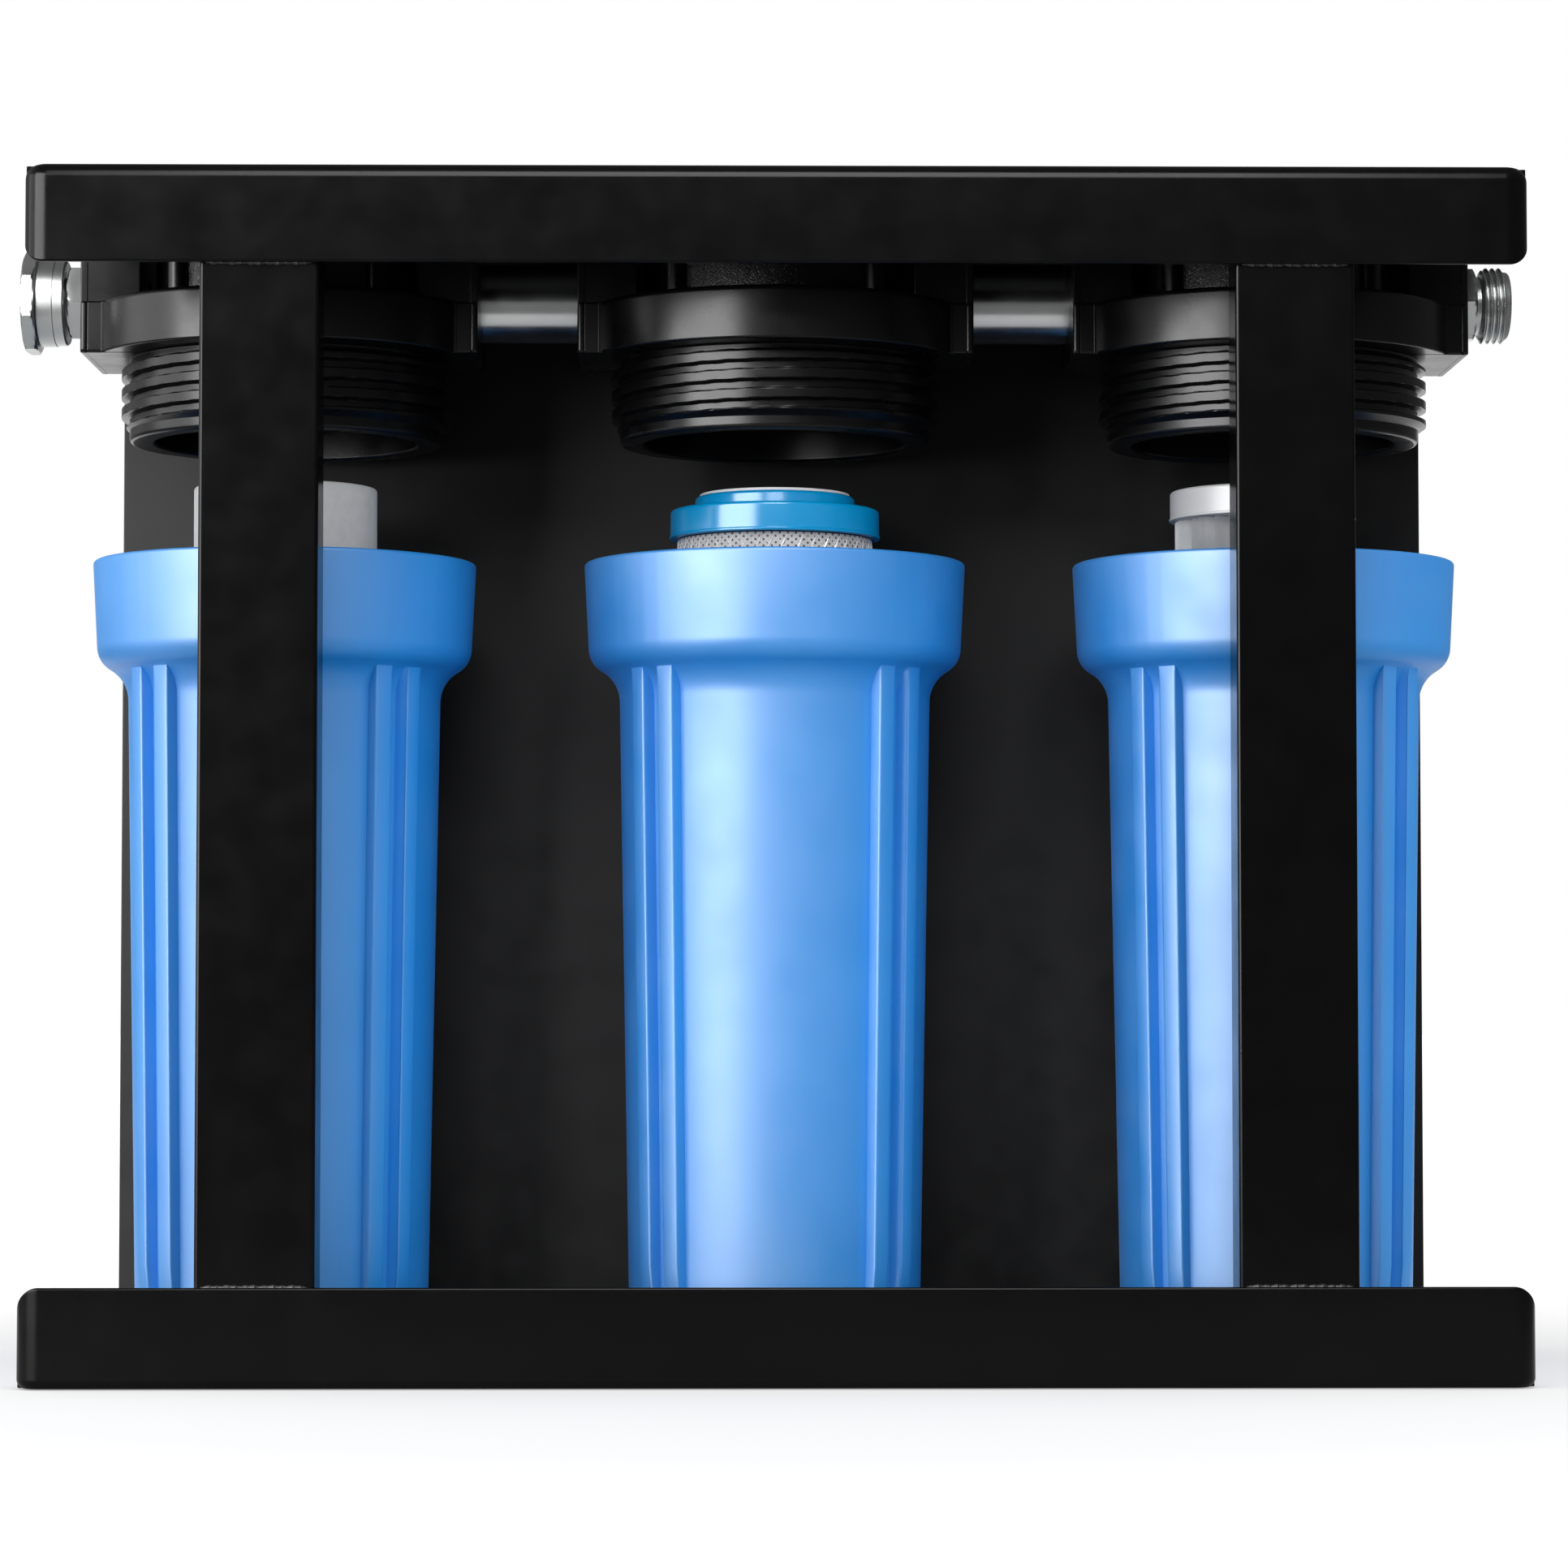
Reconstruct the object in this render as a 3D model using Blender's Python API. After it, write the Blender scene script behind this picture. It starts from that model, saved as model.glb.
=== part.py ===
"""Three-stage water filter: a sheet-steel frame with three filter heads, three unscrewed sumps
standing in its tray with their cartridges, and the stainless pipework between and beside the heads.

Metres, +Z up. The origin is under the middle of the tray, +X runs to the outlet, -Y to the front.
"""
import math
from dataclasses import dataclass

import bmesh
import bpy
from mathutils import Matrix

# Driving dimensions of the frame
FRAME_HEIGHT = 0.3933
SHEET = 0.002
CANOPY_FLANGE = 0.0323
TRAY_FLANGE = 0.0323
FLANGE_WRAP = 0.009
PLAN_CORNER_RADIUS = 0.006
BEND_RADIUS = 0.0035
CANOPY_CORNER_RADIUS = 0.0055
TRAY_CORNER_RADIUS = 0.006
PLATE_CORNER_RADIUS = 0.0012
PANEL_INSET = 0.011
POST_WIDTH = 0.0385
POST_DEPTH = 0.020
POST_EDGE_RADIUS = 0.003

# Driving dimensions of the canister stations
CANISTER_DIAMETER = 0.130
NIPPLE_EXPOSED = 0.0335
POST_CLEARANCE = 0.0077
PANEL_CLEARANCE = 0.008

# Filter head, measured from the underside of its collar
PORT_PROUD = 0.00175
COLLAR_HEIGHT = 0.0178
COLLAR_TOP_RADIUS = 0.002
COLLAR_FOOT_RADIUS = 0.001
HEAD_BOSS_HEIGHT = 0.0320
HEAD_BOSS_DIAMETER = 0.0075
HEAD_BOSS_SPREAD_X = 0.0333
HEAD_BOSS_SPREAD_Y = 0.0310
DOME_SETBACK = 0.0206
DOME_HEIGHT = 0.0250
DOME_SHOULDER_RADIUS = 0.008
SPIGOT_LENGTH = 0.0282
SPIGOT_SETBACK = 0.012
SPIGOT_WALL = 0.0085
SPIGOT_LIP = 0.0040
SPIGOT_CHAMFER = 0.0015
PORT_AXIS_HEIGHT = 0.0205
PORT_BOSS_WIDTH = 0.054
PORT_BOSS_TOP = 0.0410
PORT_BOSS_LENGTH = 0.02005
PORT_FLANGE_LENGTH = 0.0026
PORT_FLANGE_STEP = 0.0007
PORT_BORE_DEPTH = 0.0190
CAP_CHAMBER_STEP = 0.0065
CAP_CHAMBER_TAPER = 0.005
CAP_CHAMBER_TOP = 0.0284
CAP_CHAMBER_FOOT = 0.0170
INLET_PASSAGE_DIAMETER = 0.0150
OUTLET_SLOT_WIDTH = 0.016
OUTLET_SLOT_HEIGHT = 0.0076
OUTLET_SLOT_ROOF = 0.0386

# Large thread between head and sump
THREAD_PITCH = 0.0065
THREAD_HEIGHT = 0.0026
THREAD_RADIAL_CLEARANCE = 0.0010
THREAD_RUNOUT = 0.0020
THREAD_END_MARGIN = 0.0010

# Seat for the cartridge at both of its ends
SEAT_NUB_HEIGHT = 0.003

# Sump, measured from its foot
SUMP_HEIGHT = 0.2701
SUMP_RIM_RADIUS = 0.0012
SUMP_COLLAR_TAPER = 0.0015
SUMP_COLLAR_HEIGHT = 0.0290
SUMP_COLLAR_CORNER = 0.0088
SUMP_SHOULDER_SLOPE_DEG = 60.0
SUMP_SHOULDER_DEPTH = 0.01215
SUMP_DRAFT = 0.00375
SUMP_FOOT_RADIUS = 0.010
SUMP_SOCKET_DEPTH = 0.0289
SUMP_WALL = 0.00585
SUMP_FOOT_WALL = 0.0046
SUMP_FLOOR = 0.005
SUMP_FLOOR_FILLET = 0.006
CARTRIDGE_SEAT_HEIGHT = 0.0454
PEDESTAL_SPREAD = 0.007
PEDESTAL_WALL = 0.004
RIB_WIDTH = 0.0066
RIB_HEIGHT = 0.0046
RIB_FOOT = 0.018
RIB_ROOT = 0.0015
RIB_ANGLES_DEG = (40.4, 53.8)

# O-ring in the ledge of the sump
O_RING_INSET = 0.003
O_RING_SECTION = 0.0035
O_RING_PROUD = 0.0004

# Cartridges
CARTRIDGE_LENGTH = 0.250
CAP_CLEARANCE = 0.002
SPUN_EDGE_RADIUS = 0.0015
WRAP_THICKNESS = 0.0015
NETTING_WALL = 0.0011
BLUE_CAP_HEIGHT = 0.009
BLUE_RING_HEIGHT = 0.0054
BLUE_GASKET_HEIGHT = 0.0016
PLEAT_SHEET = 0.0012
PLEAT_COUNT = 30
WHITE_CAP_HEIGHT = 0.010
WHITE_CAP_CHAMFER = 0.0012
WHITE_GASKET_HEIGHT = 0.0025
WHITE_GASKET_PROUD = 0.0006

# Pipework
PIPE_DIAMETER = 0.0267
PIPE_BORE = 0.0209
PIPE_ENGAGEMENT = 0.0130
PIPE_END_CHAMFER = 0.0008
PIPE_RELIEF = 0.0010
PIPE_RELIEF_DIAMETER = 0.0190
FITTING_HEX = 0.024
FITTING_TURN_DEG = 11.0
INLET_HEX_LENGTH = 0.0047
INLET_BORE = 0.0125
TAIL_DIAMETER = 0.0170
TAIL_FLANGE_DIAMETER = 0.0240
TAIL_FLANGE_LENGTH = 0.0020
SWIVEL_LENGTH = 0.0170
SWIVEL_SLEEVE_LENGTH = 0.0100
SWIVEL_COLLAR_LENGTH = 0.0044
SWIVEL_SLEEVE_DIAMETER = 0.0296
SWIVEL_COLLAR_DIAMETER = 0.0288
SWIVEL_OCTAGON = 0.0334
SWIVEL_TURN_DEG = 10.0
SWIVEL_SOCKET_DIAMETER = 0.0268
SWIVEL_SOCKET_DEPTH = 0.0120
HOSE_WASHER_HEIGHT = 0.0025
OUTLET_HEX_LENGTH = 0.0038
OUTLET_NECK_DIAMETER = 0.0198
OUTLET_NECK_LENGTH = 0.0024
OUTLET_BORE = 0.0165
HOSE_THREAD_DIAMETER = 0.0268
HOSE_THREAD_HEIGHT = 0.0012
HOSE_THREAD_PITCH = 0.0022
HOSE_THREAD_LENGTH = 0.0114
HOSE_THREAD_RUNOUT = 0.0009
HOSE_LEAD_LENGTH = 0.0018

# Head screws
SCREW_DIAMETER = 0.0036
SCREW_LENGTH = 0.014
SCREW_HEAD_DIAMETER = 0.0078
SCREW_HEAD_HEIGHT = 0.0024

# Fits and cutting
SEAM = 0.0003
RUNNING_GAP = 0.0005
CUT_OVERRUN = 0.003
MERGE_DISTANCE = 0.00001

# Facets of round pieces and of rounded corners
BIG_SEGMENTS = 24
MID_SEGMENTS = 20
FITTING_SEGMENTS = 16
SMALL_SEGMENTS = 12
SCREW_SEGMENTS = 8
O_RING_SECTION_SEGMENTS = 5
HEXAGON_SIDES = 6
OCTAGON_SIDES = 8
CORNER_STEPS = 3
TURNED_CORNER_STEPS = 2
FILLET_STEPS = 1
SHARP_ANGLE_DEG = 35.0
PLACE_DIGITS = 6
QUARTER = math.pi / 2
HALF_TURN = math.pi
FULL_TURN = 2 * math.pi

# Shares of the pitch and of the thread height along one turn: a flat root, then a ridge
THREAD_PLACE_SHARES = (0.0, 0.35, 0.675)
THREAD_HEIGHT_SHARES = (0.0, 0.0, 1.0)
HALF_PITCH_SHARE = 0.5

# Shares of the blue cap's diameter, from 72 mm: the round pieces of the cartridges and their seats
BORE_SHARE = 28 / 72
SEAT_SHARE = 36 / 72
SEAT_NUB_SHARE = 25.2 / 72
SEAT_BORE_SHARE = 18 / 72
SPUN_SHARE = 62.4 / 72
BLOCK_SHARE = 64 / 72
BLUE_RING_SHARE = 55 / 72
BLUE_GASKET_SHARE = 52 / 72
PLEAT_SHARE = 59 / 72
PLEAT_INNER_SHARE = 37 / 72
CORE_SHARE = 34 / 72
WHITE_CAP_SHARE = 63.5 / 72
WHITE_GASKET_SHARE = 42 / 72

# Diameters worked out from the canister's
SPIGOT_ROOT_DIAMETER = CANISTER_DIAMETER - 2 * SPIGOT_SETBACK
SPIGOT_BORE = SPIGOT_ROOT_DIAMETER - 2 * SPIGOT_WALL
DOME_DIAMETER = CANISTER_DIAMETER - 2 * DOME_SETBACK
SUMP_BODY_TOP_DIAMETER = CANISTER_DIAMETER - 2 * SUMP_SHOULDER_DEPTH
SUMP_BODY_FOOT_DIAMETER = SUMP_BODY_TOP_DIAMETER - 2 * SUMP_DRAFT
SUMP_BORE_TOP = SUMP_BODY_TOP_DIAMETER - 2 * SUMP_WALL
SUMP_BORE_FOOT = SUMP_BODY_FOOT_DIAMETER - 2 * SUMP_FOOT_WALL
O_RING_DIAMETER = SPIGOT_ROOT_DIAMETER - 2 * O_RING_INSET
CAP_CHAMBER_DIAMETER = SPIGOT_BORE - 2 * CAP_CHAMBER_STEP
BLUE_CAP_DIAMETER = CAP_CHAMBER_DIAMETER - 2 * CAP_CLEARANCE
CARTRIDGE_BORE = BLUE_CAP_DIAMETER * BORE_SHARE
SEAT_DIAMETER = BLUE_CAP_DIAMETER * SEAT_SHARE
SEAT_NUB_DIAMETER = BLUE_CAP_DIAMETER * SEAT_NUB_SHARE
SEAT_BORE = BLUE_CAP_DIAMETER * SEAT_BORE_SHARE
SPUN_DIAMETER = BLUE_CAP_DIAMETER * SPUN_SHARE
BLOCK_DIAMETER = BLUE_CAP_DIAMETER * BLOCK_SHARE
NETTING_DIAMETER = BLOCK_DIAMETER + 2 * WRAP_THICKNESS
BLUE_RING_DIAMETER = BLUE_CAP_DIAMETER * BLUE_RING_SHARE
BLUE_GASKET_DIAMETER = BLUE_CAP_DIAMETER * BLUE_GASKET_SHARE
PLEAT_DIAMETER = BLUE_CAP_DIAMETER * PLEAT_SHARE
PLEAT_INNER_DIAMETER = BLUE_CAP_DIAMETER * PLEAT_INNER_SHARE
CORE_DIAMETER = BLUE_CAP_DIAMETER * CORE_SHARE
WHITE_CAP_DIAMETER = BLUE_CAP_DIAMETER * WHITE_CAP_SHARE
WHITE_GASKET_DIAMETER = BLUE_CAP_DIAMETER * WHITE_GASKET_SHARE

# Places worked out from the driving dimensions
PORT_FACE = CANISTER_DIAMETER / 2 + PORT_PROUD
PORT_BOSS_INNER_EDGE = PORT_FACE - PORT_BOSS_LENGTH
STATION_SPACING = 2 * PORT_FACE + NIPPLE_EXPOSED
PANEL_WIDTH = 2 * STATION_SPACING + CANISTER_DIAMETER
FRAME_WIDTH = PANEL_WIDTH + 2 * PANEL_INSET
CANISTER_SETBACK = SHEET + SEAM + POST_DEPTH + POST_CLEARANCE + CANISTER_DIAMETER / 2
FRAME_DEPTH = CANISTER_SETBACK + CANISTER_DIAMETER / 2 + PANEL_CLEARANCE + SHEET
STATION_Y = CANISTER_SETBACK - FRAME_DEPTH / 2
STATIONS = {"left": -STATION_SPACING, "centre": 0.0, "right": STATION_SPACING}
CANOPY_UNDERSIDE = FRAME_HEIGHT - SHEET
HEAD_DATUM = CANOPY_UNDERSIDE - SEAM - HEAD_BOSS_HEIGHT - COLLAR_HEIGHT
SUMP_BASE = SHEET + SEAM
SUMP_TRAVEL = HEAD_DATUM - SEAM - SUMP_HEIGHT - SUMP_BASE
CARTRIDGE_FOOT = SUMP_BASE + CARTRIDGE_SEAT_HEIGHT + SEAM
CARTRIDGE_TOP = CARTRIDGE_FOOT + CARTRIDGE_LENGTH
HEAD_SEAT = CARTRIDGE_TOP + SUMP_TRAVEL + SEAM - HEAD_DATUM
PORT_AXIS_Z = HEAD_DATUM + PORT_AXIS_HEIGHT
SWIVEL_START = INLET_HEX_LENGTH + SEAM


@dataclass(frozen=True)
class Thread:
    """A single-start right-hand thread round the Z axis, on a wall of one radius."""

    radius: float
    height: float
    pitch: float
    low: float
    high: float
    runout: float
    phase: float


@dataclass(frozen=True)
class Finish:
    """Colour, roughness and metallic value of a material."""

    name: str
    colour: tuple
    roughness: float
    metallic: float = 0.0


POWDER_BLACK = Finish("powder_black", (0.012, 0.012, 0.012), 0.45)
HEAD_BLACK = Finish("head_black", (0.010, 0.010, 0.010), 0.55)
STAINLESS = Finish("stainless", (0.62, 0.62, 0.60), 0.32, 1.0)
SUMP_BLUE = Finish("sump_blue", (0.05, 0.25, 0.72), 0.35)
CAP_BLUE = Finish("cap_blue", (0.0, 0.35, 0.75), 0.25)
MEDIA_WHITE = Finish("media_white", (0.86, 0.86, 0.85), 0.9)
CAP_WHITE = Finish("cap_white", (0.85, 0.85, 0.85), 0.45)
CARBON_BLACK = Finish("carbon_black", (0.02, 0.02, 0.02), 0.9)
RUBBER_BLACK = Finish("rubber_black", (0.01, 0.01, 0.01), 0.7)
SCREW_STEEL = Finish("screw_steel", (0.55, 0.55, 0.55), 0.35, 1.0)


def clear_scene():
    """Remove every object that is in the file."""
    for obj in list(bpy.data.objects):
        bpy.data.objects.remove(obj, do_unlink=True)


def material(finish):
    """The Principled material of a finish, made once."""
    found = bpy.data.materials.get(finish.name)
    if found:
        return found
    made = bpy.data.materials.new(finish.name)
    made.use_nodes = True
    shader = made.node_tree.nodes["Principled BSDF"]
    shader.inputs["Base Color"].default_value = (*finish.colour, 1.0)
    shader.inputs["Roughness"].default_value = finish.roughness
    shader.inputs["Metallic"].default_value = finish.metallic
    return made


def link(name, mesh, finish=None):
    """A new object of a mesh, in the scene."""
    obj = bpy.data.objects.new(name, mesh)
    bpy.context.scene.collection.objects.link(obj)
    if finish:
        mesh.materials.clear()
        mesh.materials.append(material(finish))
    return obj


def finished_mesh(bm, name):
    """The mesh of a bmesh, welded, with its faces pointing out and its round faces smooth."""
    bmesh.ops.remove_doubles(bm, verts=bm.verts, dist=MERGE_DISTANCE)
    bmesh.ops.recalc_face_normals(bm, faces=bm.faces)
    mesh = bpy.data.meshes.new(name)
    bm.to_mesh(mesh)
    bm.free()
    mesh.shade_smooth()
    mesh.set_sharp_from_angle(angle=math.radians(SHARP_ANGLE_DEG))
    return mesh


def empty(name, location):
    """An empty that carries other objects."""
    obj = bpy.data.objects.new(name, None)
    obj.location = location
    bpy.context.scene.collection.objects.link(obj)
    return obj


def arc(centre, radius, start, end, steps=CORNER_STEPS):
    """Points along an arc in a plane, both ends included."""
    turns = [start + (end - start) * i / steps for i in range(steps + 1)]
    return [(centre[0] + radius * math.cos(a), centre[1] + radius * math.sin(a)) for a in turns]


def rounded_rectangle(left, right, low, high, low_radius, high_radius, steps=CORNER_STEPS):
    """A rectangle's outline, anticlockwise, with one radius at its low corners and one at its high ones."""
    return (
        arc((left + low_radius, low + low_radius), low_radius, HALF_TURN, HALF_TURN + QUARTER, steps)
        + arc((right - low_radius, low + low_radius), low_radius, -QUARTER, 0.0, steps)
        + arc((right - high_radius, high - high_radius), high_radius, 0.0, QUARTER, steps)
        + arc((left + high_radius, high - high_radius), high_radius, QUARTER, HALF_TURN, steps)
    )


def prism(name, outline, start, end, frame=None):
    """A solid between two heights over an outline in XY, turned into place by a matrix."""
    bm = bmesh.new()
    floor = bm.faces.new([bm.verts.new((x, y, start)) for x, y in outline])
    raised = bmesh.ops.extrude_face_region(bm, geom=[floor])["geom"]
    top = [item for item in raised if isinstance(item, bmesh.types.BMVert)]
    bmesh.ops.translate(bm, verts=top, vec=(0.0, 0.0, end - start))
    bm.faces.ensure_lookup_table()
    if frame:
        bmesh.ops.transform(bm, matrix=frame, verts=bm.verts)
    return finished_mesh(bm, name)


def box_mesh(name, low, high):
    """A box between two corners."""
    outline = [(low[0], low[1]), (high[0], low[1]), (high[0], high[1]), (low[0], high[1])]
    return prism(name, outline, low[2], high[2])


def along_x():
    """The turn that lays the Z axis along +X, and keeps Y."""
    return Matrix.Rotation(QUARTER, 4, "Y")


def side_view():
    """The turn that makes an outline's first axis Y, its second Z and its depth X."""
    return Matrix(((0, 0, 1, 0), (1, 0, 0, 0), (0, 1, 0, 0), (0, 0, 0, 1)))


def front_view():
    """The turn that keeps an outline's first axis along X and makes its second Z and its depth -Y."""
    return Matrix.Rotation(QUARTER, 4, "X")


def thread_points(thread, step, segments):
    """Points up one column of a threaded wall, cut off at the thread's two ends."""
    forms = len(THREAD_PLACE_SHARES)
    turns = math.ceil((thread.high - thread.low) / thread.pitch) + 1
    angle = FULL_TURN * step / segments
    points = []
    for k in range(-2 * forms, (turns + 1) * forms):
        share = k // forms + THREAD_PLACE_SHARES[k % forms] + step / segments
        z = thread.low + thread.phase + thread.pitch * share
        z = min(max(z, thread.low), thread.high)
        fade = min((z - thread.low) / thread.runout, (thread.high - z) / thread.runout, 1.0)
        r = thread.radius + thread.height * THREAD_HEIGHT_SHARES[k % forms] * fade
        points.append((r * math.cos(angle), r * math.sin(angle), z))
    return points


def add_thread(bm, thread, segments):
    """Add a threaded wall: columns of points, where the last column meets the first one turn up."""
    forms = len(THREAD_PLACE_SHARES)
    columns = [[bm.verts.new(p) for p in thread_points(thread, i, segments)] for i in range(segments)]
    for i, column in enumerate(columns):
        last = i == segments - 1
        following = columns[0] if last else columns[i + 1]
        lift = forms if last else 0
        top = len(column) - 1
        for k in range(top):
            low = following[min(k + lift, top)]
            high = following[min(k + 1 + lift, top)]
            corners = [column[k], low, high, column[k + 1]]
            unique = list(dict.fromkeys(corners))
            if len(unique) > 2:
                bm.faces.new(unique)


def rounded(*values):
    """Lengths rounded far below any gap, so that they can be compared."""
    return tuple(round(value, PLACE_DIGITS) for value in values)


def turned(name, profile, segments=BIG_SEGMENTS, threads=(), frame=None):
    """A body turned round Z from (radius, height) points. A thread replaces the wall between its ends."""
    bm = bmesh.new()
    threaded = {rounded(t.radius, t.low, t.high) for t in threads}
    for (r0, z0), (r1, z1) in zip(profile, profile[1:] + profile[:1]):
        on_axis = max(r0, r1) < MERGE_DISTANCE
        if on_axis or rounded(r0, min(z0, z1), max(z0, z1)) in threaded:
            continue
        edge = bm.edges.new([bm.verts.new((r0, 0.0, z0)), bm.verts.new((r1, 0.0, z1))])
        bmesh.ops.spin(
            bm,
            geom=[*edge.verts, edge],
            cent=(0.0, 0.0, 0.0),
            axis=(0.0, 0.0, 1.0),
            angle=FULL_TURN,
            steps=segments,
            use_merge=True,
        )
    for thread in threads:
        add_thread(bm, thread, segments)
    if frame:
        bmesh.ops.remove_doubles(bm, verts=bm.verts, dist=MERGE_DISTANCE)
        bmesh.ops.transform(bm, matrix=frame, verts=bm.verts)
    return finished_mesh(bm, name)


def cylinder(name, radius, low, high, segments, frame=None):
    """A plain cylinder round Z."""
    return turned(name, [(0.0, low), (radius, low), (radius, high), (0.0, high)], segments, frame=frame)


def polygon_outline(across_flats, sides, turn):
    """A regular polygon's corners, given by its size across flats."""
    corner = across_flats / 2 / math.cos(HALF_TURN / sides)
    angles = [turn + FULL_TURN * i / sides for i in range(sides)]
    return [(corner * math.cos(a), corner * math.sin(a)) for a in angles]


def carved(name, base, steps):
    """A mesh after a list of (operation, mesh) steps, each done with an exact Boolean."""
    obj = link(name, base)
    helpers = []
    for operation, mesh in steps:
        helper = link(mesh.name, mesh)
        helper.hide_render = True
        helper.display_type = "WIRE"
        helpers.append(helper)
        modifier = obj.modifiers.new(operation.title(), "BOOLEAN")
        modifier.operation = operation
        modifier.solver = "EXACT"
        modifier.object = helper
    graph = bpy.context.evaluated_depsgraph_get()
    result = bpy.data.meshes.new_from_object(obj.evaluated_get(graph))
    for used in [obj, *helpers]:
        bpy.data.objects.remove(used, do_unlink=True)
    bm = bmesh.new()
    bm.from_mesh(result)
    bpy.data.meshes.remove(result)
    return finished_mesh(bm, name)


def moved(mesh, offset):
    """The same mesh, shifted."""
    mesh.transform(Matrix.Translation(offset))
    return mesh


# Frame


def screw_places():
    """Where the screws of one head stand, seen from its axis."""
    return [
        (side * HEAD_BOSS_SPREAD_X, row * HEAD_BOSS_SPREAD_Y)
        for side in (-1, 1)
        for row in (-1, 1)
    ]


def flanged_plate(name, flange, corner_radius, holes):
    """A plate with its flange turned down along the front and round both ends. Its top is at height zero."""
    half_width = FRAME_WIDTH / 2
    front = -FRAME_DEPTH / 2
    back = FRAME_DEPTH / 2
    plan = rounded_rectangle(-half_width, half_width, front, back, PLAN_CORNER_RADIUS, PLATE_CORNER_RADIUS)
    block = prism(name, plan, -flange, 0.0)
    bend = (
        [(front, -flange - CUT_OVERRUN)]
        + [(back + CUT_OVERRUN, -flange - CUT_OVERRUN), (back + CUT_OVERRUN, 0.0)]
        + arc((front + BEND_RADIUS, -BEND_RADIUS), BEND_RADIUS, QUARTER, HALF_TURN)
    )
    bend_stock = prism("bend", bend, -half_width - CUT_OVERRUN, half_width + CUT_OVERRUN, side_view())
    face = rounded_rectangle(-half_width, half_width, -flange, 0.0, corner_radius, PLATE_CORNER_RADIUS)
    face_stock = prism("face", face, front - CUT_OVERRUN - back, back + CUT_OVERRUN - front, front_view())
    inner_radius = PLAN_CORNER_RADIUS - SHEET
    inside = rounded_rectangle(
        -half_width + SHEET,
        half_width - SHEET,
        front + SHEET,
        back + CUT_OVERRUN,
        inner_radius,
        PLATE_CORNER_RADIUS,
    )
    hollow = prism("hollow", inside, -flange - CUT_OVERRUN, -SHEET)
    sides = box_mesh(
        "sides",
        (-half_width - CUT_OVERRUN, front + FLANGE_WRAP, -flange - CUT_OVERRUN),
        (half_width + CUT_OVERRUN, back + CUT_OVERRUN, -SHEET),
    )
    steps = [("INTERSECT", bend_stock), ("INTERSECT", face_stock)]
    steps += [("DIFFERENCE", hollow), ("DIFFERENCE", sides)]
    radius = SCREW_DIAMETER / 2 + SEAM
    for x, y in holes:
        drill = cylinder("drill", radius, -SHEET - CUT_OVERRUN, CUT_OVERRUN, SCREW_SEGMENTS)
        steps.append(("DIFFERENCE", moved(drill, (x, y, 0.0))))
    return carved(name, block, steps)


def make_canopy():
    """The canopy, drilled for the head screws."""
    holes = [(x + dx, STATION_Y + dy) for x in STATIONS.values() for dx, dy in screw_places()]
    mesh = flanged_plate("top_canopy", CANOPY_FLANGE, CANOPY_CORNER_RADIUS, holes)
    canopy = link("top_canopy", mesh, POWDER_BLACK)
    canopy.location = (0.0, 0.0, FRAME_HEIGHT)


def make_tray():
    """The tray: a flanged plate turned over, so that its flange stands up."""
    mesh = flanged_plate("bottom_tray", TRAY_FLANGE, TRAY_CORNER_RADIUS, ())
    tray = link("bottom_tray", mesh, POWDER_BLACK)
    tray.rotation_euler = (0.0, HALF_TURN, 0.0)


def make_panel():
    """The flat panel behind the canisters, from the tray's plate to the canopy's."""
    back = FRAME_DEPTH / 2
    low = (-PANEL_WIDTH / 2, back - SHEET, SHEET + SEAM)
    high = (PANEL_WIDTH / 2, back, CANOPY_UNDERSIDE - SEAM)
    link("back_panel", box_mesh("back_panel", low, high), POWDER_BLACK)


def make_post(side, x):
    """A front post: a bent channel, open to the back, in front of an outer canister."""
    half = POST_WIDTH / 2
    radius = POST_EDGE_RADIUS
    inner = half - SHEET
    inner_radius = radius - SHEET
    outside = arc((-half + radius, radius), radius, HALF_TURN, HALF_TURN + QUARTER)
    outside += arc((half - radius, radius), radius, -QUARTER, 0.0)
    inside = arc((inner - inner_radius, radius), inner_radius, 0.0, -QUARTER)
    inside += arc((-inner + inner_radius, radius), inner_radius, -QUARTER, -HALF_TURN)
    outline = (
        [(-half, POST_DEPTH)]
        + outside
        + [(half, POST_DEPTH), (inner, POST_DEPTH)]
        + inside
        + [(-inner, POST_DEPTH)]
    )
    height = CANOPY_UNDERSIDE - SEAM - SHEET - SEAM
    post = link(f"front_post_{side}", prism("front_post", outline, 0.0, height), POWDER_BLACK)
    post.location = (x, SHEET + SEAM - FRAME_DEPTH / 2, SHEET + SEAM)


# Filter head


def head_thread():
    """The male thread on the spigot."""
    low = -SPIGOT_LENGTH + SPIGOT_LIP
    high = -THREAD_END_MARGIN
    return Thread(
        SPIGOT_ROOT_DIAMETER / 2, THREAD_HEIGHT, THREAD_PITCH, low, high, THREAD_RUNOUT, -low % THREAD_PITCH
    )


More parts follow.
